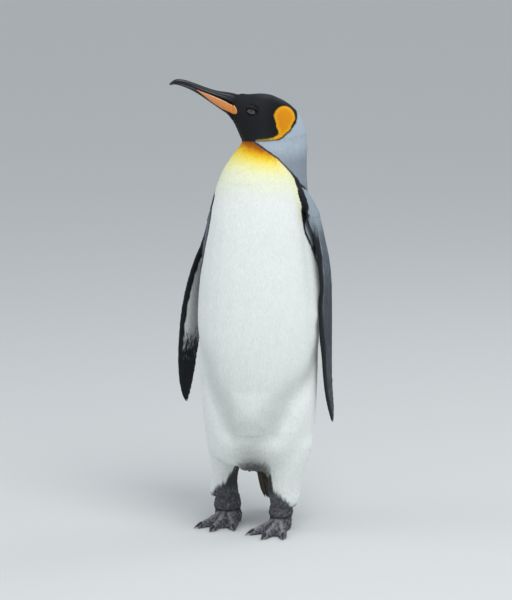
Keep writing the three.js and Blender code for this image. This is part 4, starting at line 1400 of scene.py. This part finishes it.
vane = vane_pattern()
coat = coat_tree()
socket_of = {item.name: item.identifier for item in coat.interface.items_tree if item.in_out == "INPUT"}
for number, (name, (_, spacing, lift, slimness, slot)) in enumerate(LOTS.items(), 1):
    growth = skin.modifiers.new("coat", "NODES")
    growth.node_group = coat
    given = {
        "Lot": number, "Spacing": spacing * MM, "Lift": lift, "Slimness": slimness,
        "Seed": 11 * number, "Vane": vane, "Finish": feather_finish,
    }
    for key, value in given.items():
        growth[socket_of[key]] = value
    mesh = shape_of(skin)
    skin.modifiers.clear()
    roots = read(mesh.attributes["root"].data, "vector", 3)
    normals = read(mesh.attributes["root_normal"].data, "vector", 3)
    part = np.repeat(nearest_flesh(roots[::VANE_CORNERS]), VANE_CORNERS)
    dress(mesh, corners_of(mesh), normals, part)
    corner = np.empty(len(mesh.loops), np.int32)
    mesh.loops.foreach_get("vertex_index", corner)
    within = read(mesh.attributes["vane"].data, "vector", 3)[:, :2] * [0.5, 1.0]
    patch = unwrapped(roots, normals, part) + UV_PATCH * within
    put(mesh, "OFBake", "FLOAT2", "CORNER", patch[corner])
    for spent in ("root", "root_normal", "lie", "length", "hanging", "lot"):
        if spent in mesh.attributes:
            mesh.attributes.remove(mesh.attributes[spent])
    piece = new_piece(name, mesh)
    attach(piece, "root")
bpy.data.objects.remove(vane)

for spent in ("lie", "length", "hanging", "lot"):
    skin_mesh.attributes.remove(skin_mesh.attributes[spent])
skin_mesh.materials.clear()
skin_mesh.materials.append(skin_finish)
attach(skin, "root")
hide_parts(*FLESH)


# ---------------------------------------------------------------- claws
# A blunt claw of dark, chalky horn ends each toe. It grows out of the toe's end and curves down to
# the ground, with a rounded back and a flatter underside.
CLAW_ROOT_HEIGHT, CLAW_DROP, CLAW_HALF = 8.5, 6.6, 4.5  # mm: its root's height, its fall, half its depth
CLAW_TAPER, CLAW_NARROW = 0.80, 0.82  # the share lost towards the tip, and its width against its depth
CLAW_RINGS, CLAW_ROUND = 16, 16
CLAW_COLOUR = paint(44, 41, 42)

claw_finish, tree, shader = new_material("claw")
stretched = Wire.node(tree, "ShaderNodeMapping", {}, {"Vector": place_on(tree), "Scale": (500, 90, 500)})
grain = noise_on(tree, stretched, 1.0, 3.0)
chalk = noise_on(tree, place_on(tree), 190.0, 4.0)
value = 0.65 + 0.7 * grain + 0.7 * chalk.eased(0.5, 0.8)
coloured(tree, shader, (*CLAW_COLOUR, 1), value)
roughened(tree, shader, 0.38 + 0.3 * chalk)
embossed(tree, shader, grain + chalk, 0.4, 0.4)

for node in CLAWS:
    places = corners_of(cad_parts[node].data)
    ankle = ankles[node.split("_")[1]]
    away = np.linalg.norm((places - ankle)[:, :2], axis=1)
    root = places[away < away.min() + MM].mean(0)
    tip = places[away > away.max() - MM / 2].mean(0)
    run = (tip - root) * [1, 1, 0]
    beside = np.array([-run[1], run[0], 0]) / np.linalg.norm(run)
    share = (1 - (1 - np.linspace(0, 1, CLAW_RINGS)) ** 1.4)[:, None]
    turn = (2 * math.pi * np.arange(CLAW_ROUND) / CLAW_ROUND)[None, :]
    half = CLAW_HALF * MM * (1 - CLAW_TAPER * share) * np.sqrt(np.clip(1.02 - share**6, 0, 1))
    rise = np.cos(turn) * np.where(np.cos(turn) > 0, 1.0, 0.72)
    middle = root * [1, 1, 0] + share[..., None] * run * 0.995
    height = MM * (CLAW_ROOT_HEIGHT - CLAW_DROP * share**1.7) + half * rise
    rings = middle + (half * CLAW_NARROW * np.sin(turn))[..., None] * beside
    rings[..., 2] = np.maximum(height, 0.15 * MM)
    piece = lofted(f"{node}_horn", rings)
    piece.data.materials.append(claw_finish)
    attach(piece, "root")
    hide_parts(node)


# ---------------------------------------------------------------- tail quills
# Stiff narrow quills fan down from the stump in three layers. They are dark brown with a paler olive
# edge, each with a raised shaft and a worn, pointed tip.

# Rows down the fan in mm: how far back, height, half the fan's width and half its thickness.
FAN = [
    (76, 142, 28, 5), (92, 118, 33, 9), (108, 90, 32, 8.5), (121, 62, 30, 7), (131, 38, 27, 5),
    (138, 20, 22, 2.5),
]
FAN_MIDDLE = 4
QUILL_HALF, QUILL_THICK, QUILL_SHAFT = 3.9, 0.35, 0.75
QUILLS, QUILL_RINGS = 21, 40
TAIL_DARK, TAIL_OLIVE = paint(46, 38, 30), paint(120, 104, 66)


def quill(number):
    share = number / (QUILLS - 1) * 2 - 1
    layer = (-1, 0, 1)[number % 3] if abs(share) < 0.9 else 0
    reach = 0.995 - 0.02 * abs(share) ** 1.5 - 0.07 * abs(noise.noise(Vector((number * 1.7, 3.1, 0))))
    places = np.linspace(0.4, 5 * reach, QUILL_RINGS)
    back, height, half_fan, half_thick = passed_through(FAN, places).T
    along = np.linspace(0, 1, QUILL_RINGS)
    sway = 2.2 * noise.noise(Vector((number * 2.3, 0.7, 1.9))) * along**2
    sideways = FAN_MIDDLE + 0.88 * half_fan * share + sway
    middle = np.stack([sideways, back + half_thick * layer * 0.8, height], 1)
    half = QUILL_HALF * np.minimum(1, 0.55 + along * 1.6) * np.clip((1 - along) * 3.6, 0.03, 1) ** 0.75
    notches = [abs(noise.noise(Vector((number, step * 0.45, 5)))) for step in range(QUILL_RINGS)]
    half = half * (1 - 0.16 * np.array(notches))
    across = np.array([-1, -0.62, -0.16, 0, 0.16, 0.62, 1, 0.62, 0, -0.62])
    over = np.array([0, 0.8, 1, 1 + QUILL_SHAFT / QUILL_THICK, 1, 0.8, 0, -0.8, -1, -0.8])
    over = over * QUILL_THICK * (1 - 0.6 * along[:, None]) - 0.9 * (across**2) * (1 - along[:, None])
    lean = np.array([0.0, 0.93, 0.37])
    outwards = -1 if layer < 0 else 1
    turned = math.radians(16 * share)
    wide = np.array([math.cos(turned), -math.sin(turned) * 0.6, 0])
    rings = middle[:, None] + half[:, None, None] * across[None, :, None] * wide
    rings = rings + outwards * over[..., None] * lean
    return stance + MM * rings, np.broadcast_to(np.abs(across), rings.shape[:2])


shape = bmesh.new()
edges = []
for number in range(QUILLS):
    rings, edge = quill(number)
    one = lofted("quill", rings)
    shape.from_mesh(one.data)
    edges.append(np.append(edge.ravel(), [0, 0]))
    bpy.data.objects.remove(one)
mesh = bpy.data.meshes.new("tail_quills")
shape.to_mesh(mesh)
shape.free()
put(mesh, "edge", "FLOAT", "POINT", np.concatenate(edges))
tail_quills = new_piece("tail_quills", shaded_smooth(mesh))
quill_finish, tree, shader = new_material("quill")
stretched = Wire.node(tree, "ShaderNodeMapping", {}, {"Vector": place_on(tree), "Scale": (900, 500, 60)})
hair = noise_on(tree, stretched, 1.0, 3.0)
colour = blended(tree, named(tree, "edge").eased(0.55, 1.0), (*TAIL_DARK, 1), (*TAIL_OLIVE, 1))
coloured(tree, shader, colour, 0.55 + 0.9 * hair)
roughened(tree, shader, 0.42 + 0.25 * hair)
embossed(tree, shader, hair, 0.5, 0.4)
mesh.materials.append(quill_finish)
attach(tail_quills, "root")


# ---------------------------------------------------------------- floor, lamps and camera
# The model stands on a plain pale floor, as on a bright grey day: most light is the room's own, with
# one broad lamp high in front on the bird's left, and two weaker ones at its right and behind it.
def lamp(name, place, size, power, aim=(0, 0, 0.45)):
    light = bpy.data.lights.new(name, "AREA")
    light.shape = "DISK"
    light.size = size
    light.energy = power
    holder = bpy.data.objects.new(name, light)
    holder.location = place
    towards = np.array(aim) - np.array(place)
    holder.rotation_euler = Vector(towards).to_track_quat("-Z", "Y").to_euler()
    bpy.context.scene.collection.objects.link(holder)


floor_mesh = bpy.data.meshes.new("floor")
floor_mesh.from_pydata([(-40, -40, 0), (40, -40, 0), (40, 40, 0), (-40, 40, 0)], [], [(0, 1, 2, 3)])
floor = new_piece("floor", floor_mesh)
floor_finish, tree, shader = new_material("floor")
shader.inputs["Base Color"].default_value = (*paint(216, 218, 217), 1)
shader.inputs["Roughness"].default_value = 0.9
floor_mesh.materials.append(floor_finish)

lamp("sky", (1.5, -1.7, 3.7), 2.6, 81)
lamp("side", (-2.6, -1.2, 2.4), 1.8, 11)
lamp("far", (2.0, 2.2, 2.6), 1.8, 14)
world = bpy.data.worlds.new("room")
world.use_nodes = True
world.node_tree.nodes["Background"].inputs["Color"].default_value = (*paint(214, 220, 226), 1)
world.node_tree.nodes["Background"].inputs["Strength"].default_value = 0.81
bpy.context.scene.world = world
bpy.context.scene.view_settings.view_transform = "Standard"

CAMERA_BEARING = math.radians(16)
CAMERA_AWAY, CAMERA_HEIGHT = 5.5, 1.37
CAMERA_DOWN = math.radians(9.394)
camera = bpy.data.cameras.new("camera")
camera.sensor_width = 36
camera.lens = 167.28
camera.shift_x = 1 / 600
viewer = bpy.data.objects.new("camera", camera)
viewer.location = stance + [
    CAMERA_AWAY * math.sin(CAMERA_BEARING), -CAMERA_AWAY * math.cos(CAMERA_BEARING), CAMERA_HEIGHT,
]
viewer.rotation_euler = (math.pi / 2 - CAMERA_DOWN, 0, CAMERA_BEARING)
bpy.context.scene.collection.objects.link(viewer)
bpy.context.scene.camera = viewer
